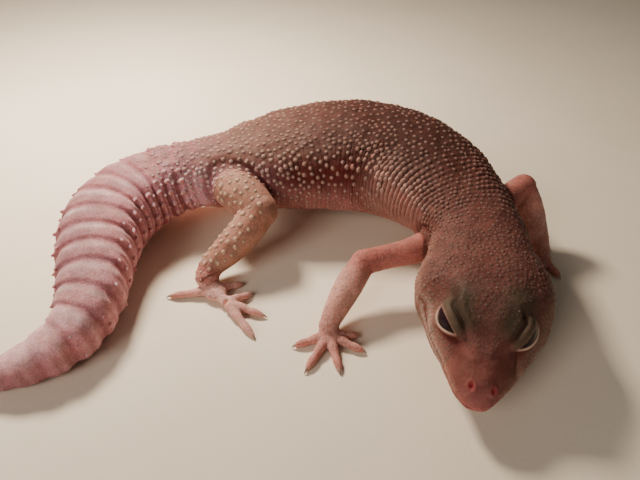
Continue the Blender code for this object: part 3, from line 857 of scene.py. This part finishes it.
def marking(skin):
    """The animal's colours at each vertex, with painted light and shade in some of them."""
    counts, angles, section, place, marks = skin.counts, skin.angles, skin.section, skin.place, skin.marks
    sine = np.sin(angles)
    skull = painted(np.tile(CROWN, (len(counts), 1)), [
        (SNOUT, fall(4.2, 6.5, counts)),
        (CHEEK, fall(0.2, 0.65, sine) * rise(2.5, 5.5, counts)),
        (LIP, fall(0.1, 0.42, sine)),
        (SNOUT_TIP, fall(1.4, 3.2, counts)),
    ])
    tail_inside = window(1.6, 2.5, 3.8, 4.6, angles) * window(21.5, 24, 28, 31, counts)
    body = painted(along_body(counts, *SIDE_STOPS), [
        # The back's colours darken towards the head partly with painted shade.
        (along_body(counts, *BACK_STOPS), rise(0.25, 0.8, sine)),
        # Partly painted light on the belly and the lower flank.
        (BELLY, fall(-0.75, -0.25, sine) * fall(21, 23, counts)),
        (FLANK_LOW, 0.8 * fall(-0.3, 0.25, sine) * window(15.5, 17.0, 19.5, 21, counts)),
        (PLEAT, 0.9 * marks["pleat"]),
        (skull, fall(9.6, 11.5, counts)),
        (BROW, marks["brow"]),
        (LIP_EDGE, 0.7 * marks["lip"]),
        (LID, marks["lid"]),
        (LID_RIM, marks["rim"]),
        # Painted shade in the lids' groove.
        (LID_GROOVE_SHADE, 0.85 * marks["groove"]),
        (NOSTRIL, marks["pit"]),
        # Partly painted light on the tail's inner side.
        (TAIL_INNER, 0.85 * tail_inside),
        # Partly a painted highlight on the whorls' tops.
        (TAIL_PALE, marks["pale"]),
        # Painted shade at the whorls' edges.
        (TAIL_EDGE_SHADE, marks["flush"]),
    ])
    leg = (skin.limb >= FIRST_LEG)[:, None]
    lower = section == LOWER
    limbs = painted(np.where(leg, LEG, ARM), [
        # Partly painted light on the forearm.
        (FOREARM, (skin.limb < FIRST_LEG) * lower * rise(0.0, 0.35, place)),
        (np.where(leg, FOOT, HAND), (section >= SOLE) + lower * rise(0.7, 1.0, place)),
        (ANKLE, 0.55 * marks["ankle"]),
    ])
    return painted(body, [(limbs, skin.limb_share)])


# ---------------- materials


class Nodes:
    """A new material, and methods that add nodes to it; most give the new node's output."""

    def __init__(self, name):
        """An empty material, with its own places for patterns to lie in."""
        self.material = bpy.data.materials.new(name)
        self.material.use_nodes = True
        self.tree = self.material.node_tree
        self.places = self.add("ShaderNodeTexCoord").outputs["Object"]

    def give(self, node, sockets):
        """Values or links for some of a node's sockets."""
        for socket, source in sockets.items():
            if isinstance(source, bpy.types.NodeSocket):
                self.tree.links.new(source, node.inputs[socket])
            else:
                node.inputs[socket].default_value = source

    def add(self, kind, sockets=None, **settings):
        """A node of any kind: the node itself, not its output."""
        node = self.tree.nodes.new(kind)
        for name, value in settings.items():
            setattr(node, name, value)
        self.give(node, sockets or {})
        return node

    def times(self, first, second):
        """The product of two numbers."""
        return self.add("ShaderNodeMath", {0: first, 1: second}, operation="MULTIPLY").outputs[0]

    def one_minus(self, source):
        """One minus a number."""
        return self.add("ShaderNodeMath", {0: 1.0, 1: source}, operation="SUBTRACT").outputs[0]

    def noise(self, scale, detail=2.0):
        """Noise, its scale in lumps to the metre."""
        sockets = {"Vector": self.places, "Scale": scale, "Detail": detail, "Roughness": 0.55}
        return self.add("ShaderNodeTexNoise", sockets).outputs["Fac"]

    def cells(self, scale):
        """Distance from the middles of rounded cells, their scale in cells to the metre."""
        sockets = {"Vector": self.places, "Scale": scale, "Randomness": 0.85}
        return self.add("ShaderNodeTexVoronoi", sockets).outputs["Distance"]

    def attribute(self, name, output="Fac"):
        """A value that the mesh holds at its vertices."""
        return self.add("ShaderNodeAttribute", attribute_name=name).outputs[output]

    def ramp(self, source, low, high, low_value=0.0, high_value=1.0):
        """A smooth change of value as the source goes from low to high."""
        sockets = {"Value": source, "From Min": low, "From Max": high}
        sockets.update({"To Min": low_value, "To Max": high_value})
        return self.add("ShaderNodeMapRange", sockets, interpolation_type="SMOOTHSTEP").outputs["Result"]

    def mix(self, share, under, over, kind="MIX"):
        """Two colours mixed by this share, or the first one multiplied by the second."""
        under, over = ((*side, 1.0) if isinstance(side, tuple) else side for side in (under, over))
        node = self.add("ShaderNodeMix", data_type="RGBA", blend_type=kind)
        self.give(node, {0: share, 6: under, 7: over})
        return node.outputs[2]

    def tinted(self, share, colour, tint):
        """A colour, by this share multiplied by a tint."""
        return self.mix(share, colour, self.mix(1.0, colour, tint, "MULTIPLY"))

    def bump(self, height, distance, strength=1.0, **more):
        """A bumped normal, for a height and the distance in metres that it stands for."""
        sockets = {"Height": height, "Distance": distance, "Strength": strength, **more}
        return self.add("ShaderNodeBump", sockets).outputs["Normal"]

    def finish(self, sockets):
        """The material, with values or links for its shader's own sockets."""
        self.give(self.tree.nodes["Principled BSDF"], sockets)
        return self.material


# The skin's grain: patches, flushes, granules and pores to the metre, and the depths of the last two.
MOTTLES, FLUSHES, GRANULES, PORES = 420.0, 160.0, 2500.0, 5200.0
GRANULE_DEPTH = 0.00005
PORE_DEPTH = 0.00002


def skin_material(name, tip_colour=SCALE_TIP):
    """Granular skin: marking colours, mottled, with painted shade in its creases and between its granules."""
    n = Nodes(name)
    mottle = n.ramp(n.noise(MOTTLES, 4.0), 0.38, 0.66, 0.86, 1.12)
    mottle = n.add("ShaderNodeCombineColor", {0: mottle, 1: mottle, 2: mottle}).outputs[0]
    colour = n.mix(1.0, n.attribute("marking", "Color"), mottle, "MULTIPLY")
    colour = n.tinted(n.ramp(n.noise(FLUSHES), 0.45, 0.75, 0.0, 0.35), colour, (1.08, 0.82, 0.76))
    granules = n.cells(GRANULES)
    grainy = n.one_minus(n.attribute("bare"))
    # Painted shade in the gaps between granules.
    granule_gap_shade = n.times(n.ramp(granules, 0.25, 0.62, 0.0, 0.5), grainy)
    colour = n.tinted(granule_gap_shade, colour, (0.72, 0.52, 0.48))
    # Painted shade darkens the creases.
    colour = n.mix(n.times(n.attribute("crease"), 0.8), colour, CREASE_SHADE)
    normal = n.bump(n.times(n.one_minus(granules), grainy), GRANULE_DEPTH)
    return n.finish({
        "Base Color": n.mix(n.attribute("tip"), colour, tip_colour),
        "Roughness": n.ramp(n.noise(900.0), 0.3, 0.7, 0.52, 0.7),
        "Normal": n.bump(n.noise(PORES), PORE_DEPTH, 0.6, Normal=normal),
        "Subsurface Weight": 0.6,
        "Subsurface Radius": (1.0, 0.42, 0.36),
        "Subsurface Scale": 0.0016,
        "Specular IOR Level": 0.12,
    })


def eye_material():
    """A dark, wet eye with a faint bloom."""
    n = Nodes("eye_gloss")
    return n.finish({
        "Base Color": n.mix(n.ramp(n.noise(500.0), 0.35, 0.7), EYE_DARK, EYE_BLOOM),
        "Roughness": n.ramp(n.noise(1500.0), 0.3, 0.7, 0.06, 0.14),
        "IOR": 1.22,
        "Specular IOR Level": 0.5,
    })


def claw_material():
    """Grey-brown horn, paler at its root."""
    n = Nodes("claw_horn")
    return n.finish({
        "Base Color": n.mix(n.attribute("tip"), CLAW_ROOT, CLAW_TIP),
        "Roughness": n.ramp(n.noise(2500.0, 3.0), 0.3, 0.7, 0.28, 0.42),
        "Normal": n.bump(n.noise(4000.0), 0.00002, 0.5),
    })


def floor_material():
    """Plain pale floor."""
    n = Nodes("floor_pale")
    return n.finish({
        "Base Color": n.mix(n.ramp(n.noise(30.0, 4.0), 0.3, 0.7), FLOOR_COLOUR, FLOOR_PALE),
        "Roughness": 0.75,
        "Normal": n.bump(n.noise(900.0, 4.0), 0.0001, 0.35),
    })


# ---------------- pieces


def in_frame(points):
    """Plan millimetres as the frame's metres."""
    return (points - PLAN_CENTRE) * MM


def add_piece(name, mesh, material, nodes=()):
    """A piece of the animal, riding on its one body."""
    mesh.materials.clear()
    mesh.materials.append(material)
    mesh.shade_smooth()
    obj = placed(name, mesh)
    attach(obj, "root")
    if nodes:
        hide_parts(*nodes)


def write_values(mesh, **layers):
    """Float attributes on the mesh's vertices."""
    for name, values in layers.items():
        layer = mesh.attributes.new(name, "FLOAT", "POINT")
        layer.data.foreach_set("value", np.asarray(values, np.float32))


def write_marking(mesh, colours):
    """The marking colours on the mesh's vertices."""
    layer = mesh.color_attributes.new("marking", "FLOAT_COLOR", "POINT")
    rgba = np.column_stack([colours, np.ones(len(colours))]).astype(np.float32)
    layer.data.foreach_set("color", rgba.ravel())


def head_part(places):
    """Whether points are on the head, clear of the hand beside it."""
    x, y = places[:, 0], places[:, 1]
    hand_x, hand_y = LIMBS["arm_right"][2][:2]
    return (y < HEAD_REAR) & (x > HEAD_RIGHT) & (np.hypot(x - hand_x, y - hand_y) > HAND_CLEARANCE)


def eye_part(places):
    """Whether points are close to an eye."""
    near = np.zeros(len(places), bool)
    for hand in (1, -1):
        centre, out, _, _ = eye_frame(hand)
        near |= (np.linalg.norm(places - centre, axis=1) < EYE_FINE) & ((places - centre) @ out > 0.2)
    return near


def fold_part(places):
    """Whether points lie where the skin is pressed into folds."""
    counts, angles, outside = locate_on_body(places)
    return (fold_strength(counts, angles) > 0.35) & (outside < 0.8)


class Skin:
    """The skin's mesh and what is known at each vertex, filled in by the functions below."""


def plain_skin():
    """The skin in its plain form, and where each vertex lies on the body and the limbs."""
    skin = Skin()
    limbs, samples = limb_forms()
    skin.mesh = remeshed(*joined([body_form(), *limbs]))
    for wanted in (head_part, eye_part, fold_part):
        refine(skin.mesh, wanted)
    skin.edges = edges_of(skin.mesh)
    points = smoothed(points_of(skin.mesh), skin.edges, 10)
    outside = locate_on_body(points)[2]
    number, reach = nearest(samples[:, :3], points)
    radius, skin.section, skin.limb, skin.place = samples[number, 3:].T
    skin.limb_gap = reach - radius

    # The joints of body and limbs, and the wrists and ankles, are smoothed further.
    joint = fall(0.9, 2.2, np.abs(outside)) * fall(0.9, 2.2, np.abs(skin.limb_gap))
    joint *= np.where(skin.limb >= FIRST_LEG, 0.35, 1.0)
    wrist = (skin.section == SOLE) + (skin.section == LOWER) * rise(0.8, 0.95, skin.place)
    wrist = wrist + (skin.section == TOE) * (skin.place < 0.2)
    points = smoothed(points, skin.edges, 16, np.maximum(joint, wrist * rise(0.8, 2.0, outside)))

    # Away from the limbs, the skin is drawn exactly onto its depth in the body's outline.
    counts, angles, outside = locate_on_body(points)
    depth = skin_depth(counts, angles)
    onto = fall(0.35, 0.9, np.abs(outside + depth))
    onto *= fall(0.05, 0.4, joint) * rise(0.3, 1.0, counts)
    points = points + onto[:, None] * (body_surface(counts, angles, -depth) - points)
    points[:, 2] = np.maximum(points[:, 2], LOWEST)
    skin.points, skin.counts, skin.angles, skin.outside = points, counts, angles, outside
    skin.limb_share = rise(0.15, 1.0, outside)
    return skin


def head_cobbles(skin):
    """Share by which each vertex stands up in the small rounded scales that pave the head."""
    spacing = 0.62 + 0.28 * rise(4.0, 8.5, skin.counts)
    allowed = (skin.counts < 10.6) & (skin.counts > 0.8) & (skin.limb_share < 0.3)
    allowed &= np.sin(skin.angles) > -0.5
    spots = scattered(skin, np.random.default_rng(57).permutation(len(skin.points)), spacing, allowed)
    number, gap = nearest(skin.points[spots], skin.points[allowed])
    share = np.zeros(len(skin.points))
    share[allowed] = 1 - (gap / (0.66 * spacing[spots[number]])) ** 2
    return np.clip(share, 0, 1) * rise(0.8, 1.6, skin.counts)


def carve(skin):
    """Relief over the whole skin but the lids, and the marks that colour it."""
    points, counts, angles = skin.points, skin.counts, skin.angles
    sine, body_share = np.sin(angles), 1 - skin.limb_share
    marks = {name: np.zeros(len(points)) for name in ("rim", "lid", "ease", "groove", "bare")}
    head_lift, head_crease, marks["pit"], lip = head_relief(counts, angles, points)
    tail_lift, tail_crease, flush, pale = tail_relief(counts, angles, points)
    fold_lift, fold_crease = fold_relief(counts, angles, points)
    neck_lift, neck_crease = neck_relief(counts, angles, points)
    limb_lift, limb_crease, marks["ankle"] = limb_relief(skin)
    skin.fold = fold_strength(counts, angles)
    marks["pleat"] = skin.fold * fall(14.8, 17.2, counts) * (1 - 0.5 * rise(0.2, 0.8, sine))
    skin.fold = skin.fold * body_share
    marks["lip"], marks["flush"] = lip * body_share, flush * body_share
    # The pale crest, partly a painted highlight, is kept to the tail's top.
    marks["pale"] = pale * body_share * rise(0.1, 0.8, sine) * (0.7 + 0.4 * waves(points, 2.5, 51))
    brow = np.clip(1.3 * both_sides(angles, 1.15, 0.27), 0, 1)
    marks["brow"] = 0.9 * window(4.9, 5.8, 6.9, 8.0, counts) * brow
    # Painted shade in the creases of the head, tail, folds and neck, and of the limbs.
    crease = np.maximum.reduce([head_crease, tail_crease * 0.6, fold_crease, neck_crease]) * body_share
    marks["crease"] = np.maximum(crease, limb_crease)

    lumps = 0.10 * waves(points, 3.0, 41) + 0.04 * waves(points, 1.2, 42)
    lumps *= rise(9.0, 11.0, counts) * (1 - 0.6 * rise(22, 26, counts))
    lumps *= 0.4 + 0.6 * body_share
    cobbles = head_cobbles(skin) * (0.03 + 0.04 * rise(4.0, 8.0, counts))
    cobbles *= 1 - np.minimum(1, 2 * head_crease)
    lift = (head_lift + tail_lift + fold_lift + neck_lift) * body_share + limb_lift + lumps + cobbles
    skin.points = points + vertex_normals(skin.mesh, points) * lift[:, None]
    skin.marks = marks


def build_skin():
    """One skin over the whole body and limbs."""
    skin = plain_skin()
    carve(skin)
    for hand in (1, -1):
        shape_lids(skin.points, skin.marks, hand)
    skin.points = smoothed(skin.points, skin.edges, 14, skin.marks["ease"])
    skin.points[:, 2] = np.maximum(skin.points[:, 2], LOWEST)
    skin.colours = marking(skin)
    skin.normals = vertex_normals(skin.mesh, in_frame(skin.points))
    head_share = (1 - skin.limb_share) * fall(8.5, 11.0, skin.counts)
    bare = np.maximum(skin.marks["bare"], 0.55 * head_share)
    write_marking(skin.mesh, skin.colours)
    write_values(skin.mesh, crease=skin.marks["crease"], bare=bare, tip=np.zeros(len(bare)))
    add_piece("skin", skin.mesh, skin_material("gecko_skin"), FLESH)
    return skin


def build_eyes():
    """The two eyeballs."""
    material = eye_material()
    for hand, side in ((1, "left"), (-1, "right")):
        centre, out, along, above = eye_frame(hand)
        points, faces = ellipsoid(centre, (along, above, out), EYE_RADII, 64, 48, 0.498)
        mesh = make_mesh("eye_" + side, in_frame(points), faces)
        add_piece("eyeball_" + side, mesh, material, ["eye_" + side])


# ---------------- scales

# A dome's sides, its rings from its foot up, as reach and rise in parts of its radius and height,
# the level of its foot's middle, and the width of its patch of the OFBake map.
DOME_SIDES = 8
DOME_RINGS = [(1.18, -0.25), (0.92, 0.16), (0.62, 0.62), (0.3, 0.92)]
DOME_FOOT = -0.35
PATCH = 0.003


def dome_faces():
    """Faces of one closed dome: rings of points, then its top and its bottom."""
    top, bottom = len(DOME_RINGS) * DOME_SIDES, len(DOME_RINGS) * DOME_SIDES + 1
    faces = []
    for i in range(DOME_SIDES):
        j = (i + 1) % DOME_SIDES
        faces.append((i, bottom, j))
        for low in range(0, top - DOME_SIDES, DOME_SIDES):
            faces.append((low + i, low + j, low + DOME_SIDES + j))
            faces.append((low + i, low + DOME_SIDES + j, low + DOME_SIDES + i))
        faces.append((top - DOME_SIDES + i, top - DOME_SIDES + j, top))
    return np.array(faces)


def domes(centres, normals, backs, radii, heights, stretch, lean):
    """Points of many domes, each leaning backwards, with a dome's tip values and flat places."""
    backs = normalised(backs - normals * (backs * normals).sum(axis=1)[:, None])
    across = np.cross(normals, backs)
    levels, tips, flats = [], [], []
    rings = [(reach, level, angle) for reach, level in DOME_RINGS for angle in turns(DOME_SIDES)]
    for reach, level, angle in [*rings, (0.0, 1.0, 0.0), (0.0, DOME_FOOT, 0.0)]:
        x, y, tip = reach * math.cos(angle), reach * math.sin(angle), max(level, 0.0)
        place = centres + normals * (heights * level)[:, None]
        place = place + backs * (radii * (x * (2 - stretch) + lean * tip))[:, None]
        levels.append(place + across * (radii * y * stretch)[:, None])
        tips.append(tip)
        flats.append((x, y))
    return np.stack(levels, axis=1).reshape(-1, 3), np.array(tips), np.array(flats)


def skin_map(skin, spots):
    """Places of skin vertices on an unwrap: the body along and around, and each limb above it."""
    along = at(Spine.along, skin.counts[spots]) / Spine.along[-1]
    around = (skin.angles[spots] + math.pi / 2) / (2 * math.pi)
    places = np.column_stack([0.02 + 0.96 * along, 0.02 + 0.6 * around])
    on_limb = skin.limb_share[spots] > 0.5
    x, y, _ = (skin.points[spots] - skin.points.min(axis=0)).T
    upper_side = skin.normals[spots, 2] > 0
    flat_x = 0.02 + 0.24 * skin.limb[spots] + 0.22 * (x % 24) / 24
    flat_y = 0.66 + 0.15 * upper_side + 0.14 * (y % 40) / 40
    places[on_limb] = np.column_stack([flat_x, flat_y])[on_limb]
    return places


def scale_piece(name, skin, spots, look, slot, material, lean=0.35):
    """Joined domes rooted at skin vertices; look has their radii, heights, tip contrast and stretch."""
    radii, heights, contrast, stretch = look
    backs = at(Spine.tangent, skin.counts[spots])
    points, tips, flats = domes(skin.points[spots], skin.normals[spots], backs, radii, heights, stretch, lean)
    size = len(tips)
    faces = (dome_faces()[None] + (np.arange(len(spots)) * size)[:, None, None]).reshape(-1, 3)
    mesh = make_mesh(name, in_frame(points), faces.tolist())
    write_marking(mesh, np.repeat(skin.colours[spots], size, axis=0))
    # The domes take half the painted shade of the creases they stand in.
    crease = np.repeat(0.5 * skin.marks["crease"][spots], size)
    write_values(mesh, tip=np.outer(contrast, tips).ravel(), bare=np.ones(len(points)), crease=crease)
    places = np.repeat(skin_map(skin, spots), size, axis=0) + np.tile(flats, (len(spots), 1)) * PATCH / 2
    corners = np.empty(len(mesh.loops), int)
    mesh.loops.foreach_get("vertex_index", corners)
    layer = mesh.uv_layers.new(name="OFBake")
    layer.uv.foreach_set("vector", places[corners].astype(np.float32).ravel())
    add_piece(name, mesh, material)


def scattered(skin, chance_order, spacing, allowed):
    """Vertices spread so that none is nearer another than its spacing."""
    size = float(spacing.max())
    steps = list(itertools.product((-1, 0, 1), repeat=3))
    taken, grid = [], {}
    for index in chance_order[allowed[chance_order]]:
        place, gap = skin.points[index], spacing[index] ** 2
        x, y, z = (place // size).astype(int)
        cells = ((x + dx, y + dy, z + dz) for dx, dy, dz in steps)
        offsets = (skin.points[other] - place for cell in cells for other in grid.get(cell, ()))
        if all(offset @ offset >= gap for offset in offsets):
            taken.append(index)
            grid.setdefault((x, y, z), []).append(index)
    return np.array(taken, int)


def nearest_vertices(skin, counts, angles, allowed):
    """The allowed skin vertex closest to each place on the body, with the distance."""
    index = np.flatnonzero(allowed)
    number, gap = nearest(skin.points[index], body_surface(counts, angles, -SKIN_DEPTH))
    return index[number], gap


# Rings of scales leave a strip along the belly bare: where they start, and how far they go round.
RING_START = -0.6
RING_SWEEP = math.pi + 1.2


def ring_angles(number, offset):
    """Angles of a ring of scales, turned by half a step where offset is odd."""
    return RING_START + RING_SWEEP * (np.arange(number) + 0.5 * (offset % 2)) / number


def ring_places(first, last):
    """Stations and angles of rings of scales, each offset by half a step from the last."""
    counts, angles = [], []
    ring_counts = np.interp(np.arange(first, last), Spine.ring, Spine.counts)
    for ring, count in zip(range(first, last), ring_counts):
        number = int(np.interp(count, *AROUND))
        counts.append(np.full(number, count))
        angles.append(ring_angles(number, ring))
    counts, angles = np.concatenate(counts), np.concatenate(angles)
    error = ring_phase(counts, angles) - at(Spine.ring, counts)
    counts = np.interp(at(Spine.ring, counts) - error, Spine.ring, Spine.counts)
    return counts, angles


def body_scales(skin):
    """Tubercles of the neck, trunk and tail root in rows along and rings around the body."""
    rng = np.random.default_rng(7)
    first, last = (int(np.interp(count, Spine.counts, Spine.ring)) for count in (10.2, WHORL_FIRST + 1.9))
    counts, angles = ring_places(first, last)
    counts = counts + rng.normal(0, 0.022, len(counts))
    angles = angles + rng.normal(0, 0.02, len(angles))
    sine = np.sin(skin.angles)
    free = (skin.limb_share < 0.2) & (skin.marks["bare"] < 0.3)
    free &= skin.counts < WHORL_FIRST + 0.4 + 1.5 * rise(0.3, 0.7, sine)
    pleats = (skin.fold > 0.3) & (sine < 0.35) & (skin.counts < 15.3 + 0.5 * waves(skin.points, 3, 61))
    side = fall(0.5, 0.9, sine)
    spacing = 0.78 + 0.42 * side * window(15.6, 16.4, 18.5, 20.0, skin.counts)
    spacing += 0.42 * (1 - side) * rise(18.0, 20.5, skin.counts)
    spacing += 0.15 * rise(21.5, 22.5, skin.counts)
    spots, gap = nearest_vertices(skin, counts, angles, free)
    spots = scattered(skin, np.unique(spots[gap < 0.8]), spacing, free & ~pleats)

    counts, sine, fold = skin.counts[spots], sine[spots], skin.fold[spots]
    size = 0.28 + 0.2 * rise(10.0, 15.0, counts)
    size *= (0.5 + 0.5 * rise(-0.35, 0.35, sine)) * rng.uniform(0.85, 1.12, len(size))
    size *= (1 + 0.15 * fold) * (1 - 0.3 * rise(21.5, 23.5, counts))
    contrast = 0.09 + 0.17 * rise(10.5, 16.0, counts) + 0.18 * rise(18.5, 20.5, counts)
    contrast += 0.34 * fall(0.3, 0.9, sine) * rise(14.5, 17.5, counts)
    height = size * (0.38 + 0.09 * rise(10.0, 13.0, counts))
    return spots, (size, height, contrast, 0.97 + 0.18 * fold)


# Rows of scales on a whorl: place along it, size and the last station that has them.
WHORL_ROWS = ((0.8, 0.62, 29.5), (0.35, 0.34, 24.5))


def whorl_places():
    """Stations, angles and sizes of the scales on the tail's whorls."""
    rows = []
    for whorl in range(13):
        for row, (place, size, last) in enumerate(WHORL_ROWS):
            along = Spine.tail_start + (whorl + place) * WHORL_PITCH
            count = float(np.interp(along, Spine.along, Spine.counts))
            if count > last:
                continue
            radius = float(at(Spine.rows, np.array([count]))[0, 3])
            number = max(7, int(13 * min(1.0, radius / 7.5)))
            size *= float(np.interp(count, (22.0, 26.0, 31.0), (1.0, 0.7, 0.4)))
            angles = ring_angles(number, whorl + row)
            rows.append((np.full(number, count), angles, np.full(number, size)))
    return np.concatenate(rows, axis=1)


def tail_scales(skin):
    """Pointed scales on each whorl's hind edge, largest on its sides, and small ones before it."""
    rng = np.random.default_rng(17)
    counts, angles, sizes = whorl_places()
    counts = counts + rng.normal(0, 0.02, len(counts))
    angles = angles + rng.normal(0, 0.02, len(angles))
    spots, gap = nearest_vertices(skin, counts, angles, skin.limb_share < 0.35)
    beside = fall(0.45, 0.9, np.sin(skin.angles[spots]))
    fore = fall(22.5, 26.0, skin.counts[spots])
    kept = (gap < 1.0) & ((skin.counts[spots] < 23.3) | (beside > 0.3))
    spots, sizes, beside, fore = spots[kept], sizes[kept], beside[kept], fore[kept]
    size = sizes * (0.5 + 0.5 * np.maximum(beside, fore)) * rng.uniform(0.85, 1.15, len(spots))
    return spots, (size, size * (0.4 + 0.9 * beside), 0.12 + 0.6 * fore * beside, np.ones(len(spots)))


def limb_scales(skin):
    """Tubercles on the outer faces of the legs, smaller on the arms and feet."""
    rng = np.random.default_rng(27)
    order = rng.permutation(len(skin.points))
    leg, sole = skin.limb >= FIRST_LEG, skin.section >= SOLE
    spacing = np.where(sole, 0.8, np.where(leg, 1.4, 1.2))
    outer = (skin.normals[:, 2] > -0.1) & ~(leg & (skin.normals[:, 0] > 0.35))
    allowed = (skin.limb_share > 0.5) & outer & (skin.section < TOE) & (skin.points[:, 2] > 1.4)
    spots = scattered(skin, order, spacing, allowed)
    leg, sole = leg[spots], sole[spots]
    size = np.where(sole, 0.2, np.where(leg, 0.5, 0.18)) * rng.uniform(0.6, 1.15, len(spots))
    return spots, (size, size * 0.5, np.where(leg & ~sole, 0.5, 0.12), np.ones(len(spots)))


def head_scales(skin):
    """Small scales of the crown, snout and cheeks."""
    rng = np.random.default_rng(37)
    order = rng.permutation(len(skin.points))
    sine, marks = np.sin(skin.angles), skin.marks
    back = rise(4.5, 9.5, skin.counts)
    allowed = (skin.counts < 10.2) & (skin.counts > 4.2) & (sine > 0.0) & (skin.limb_share < 0.3)
    allowed &= (marks["bare"] < 0.2) & (marks["crease"] < 0.3) & (marks["groove"] < 0.2)
    spots = scattered(skin, order, 0.55 + 0.2 * back, allowed)
    back = back[spots]
    size = (0.2 + 0.1 * back) * rng.uniform(0.75, 1.12, len(spots)) * (1 - 0.3 * marks["brow"][spots])
    contrast = 0.05 + 0.06 * back + 0.12 * fall(0.2, 0.7, sine[spots])
    return spots, (size, size * (0.2 + 0.12 * back), contrast, np.ones(len(spots)))


def build_scales(skin):
    """All the scales that stand out of the skin."""
    material = skin_material("gecko_scale")
    scale_piece("scales_trunk", skin, *body_scales(skin), "trunk_skin", material)
    scale_piece("scales_tail", skin, *tail_scales(skin), "tail_skin", material, lean=0.75)
    pale = skin_material("gecko_leg_scale", LEG_TIP)
    scale_piece("scales_limbs", skin, *limb_scales(skin), "limb_skin", pale)
    scale_piece("scales_head", skin, *head_scales(skin), "head_skin", material, lean=0.1)


# A claw's radius at its root and its point, and the height, arch and drop of its axis.
CLAW_ROUND, CLAW_POINT = 0.3, 0.03
CLAW_HEIGHT, CLAW_ARCH, CLAW_DROP = 0.6, 0.18, 0.45


def build_claws():
    """A short curved claw at the end of each toe."""
    forms, tips = [], []
    sides = 10
    steps = np.linspace(0, 1, 9)
    radius = CLAW_ROUND * (1 - steps) ** 0.7 + CLAW_POINT
    height = CLAW_HEIGHT + CLAW_ARCH * np.sin(steps * math.pi) - CLAW_DROP * steps**2
    height = np.maximum(height, radius + LOWEST)
    for _, _, sole, toe_tips in LIMBS.values():
        for root, end in zip(toe_roots(sole), toe_tips):
            root, end = np.array(root), np.array(end)
            start = root + (end - root) * CLAW_START
            length = np.linalg.norm(end - start) + 0.1
            places = start + np.outer(steps * length, normalised(end - root))
            forms.append(tube(round_rings(np.column_stack([places, height, radius]), sides)))
            tips.append(np.concatenate([np.repeat(steps, sides), [0.0, 1.0]]))
    points, faces = joined(forms)
    mesh = make_mesh("claws", in_frame(points), faces)
    write_values(mesh, tip=np.concatenate(tips))
    add_piece("claws", mesh, claw_material())


# ---------------- stage

# The floor's half width, and the places, targets and sizes of the lights, in metres in the frame,
# with their power in watts.
FLOOR_HALF = 1.5
KEY_PLACE, KEY_TARGET, KEY_SIZE, KEY_POWER = (-0.055, 0.07, 0.12), (-0.057, 0.045, 0.0), 0.035, 0.52
FILL_PLACE, FILL_TARGET, FILL_SIZE, FILL_POWER = (-0.35, -0.45, 0.32), (0.0, 0.0, 0.0), 0.3, 2.2
KEY_COLOUR = (1.0, 0.85, 0.70)
FILL_COLOUR = (1.0, 0.86, 0.78)
WORLD_COLOUR = (1.0, 0.93, 0.86, 1.0)
WORLD_STRENGTH = 0.09

# The camera stands over the plan's origin: its height there, its tilt, its lens and its sensor,
# in mm but for the tilt.
CAMERA_HEIGHT = 80.0
CAMERA_TILT = math.radians(52)
LENS = 33.75
SENSOR = 36.0


def build_floor():
    """A pale floor under the animal."""
    corners = [(FLOOR_HALF * x, FLOOR_HALF * y, 0) for x, y in ((-1, -1), (1, -1), (1, 1), (-1, 1))]
    mesh = make_mesh("floor", corners, [(0, 1, 2, 3)])
    mesh.materials.append(floor_material())
    placed("floor", mesh)


def add_light(name, place, target, size, power, colour):
    """A square soft light at a place, aimed at a target."""
    data = bpy.data.lights.new(name, "AREA")
    data.size = size
    data.energy = power
    data.color = colour
    light = placed(name, data)
    light.location = place
    light.rotation_euler = (Vector(place) - Vector(target)).to_track_quat("Z", "Y").to_euler()
    return light


def build_lights():
    """Soft studio light: a warm softbox behind on the left, and a weak fill in front."""
    add_light("key", KEY_PLACE, KEY_TARGET, KEY_SIZE, KEY_POWER, KEY_COLOUR)
    fill = add_light("fill", FILL_PLACE, FILL_TARGET, FILL_SIZE, FILL_POWER, FILL_COLOUR)
    fill.visible_glossy = False
    world = bpy.data.worlds.new("studio")
    world.use_nodes = True
    background = world.node_tree.nodes["Background"]
    background.inputs["Color"].default_value = WORLD_COLOUR
    background.inputs["Strength"].default_value = WORLD_STRENGTH
    bpy.context.scene.world = world


def build_camera():
    """The viewpoint: in front of and above the animal, looking down at it."""
    data = bpy.data.cameras.new("camera")
    data.lens = LENS
    data.sensor_width = SENSOR
    data.clip_start = 0.005
    data.clip_end = 10.0
    camera = placed("camera", data)
    camera.location = in_frame(np.array((0.0, 0.0, CAMERA_HEIGHT)))
    camera.rotation_euler = (CAMERA_TILT, 0, 0)
    bpy.context.scene.camera = camera


def main():
    """Build the scene."""
    build_camera()
    build_lights()
    build_floor()
    skin = build_skin()
    build_eyes()
    build_claws()
    build_scales(skin)


main()
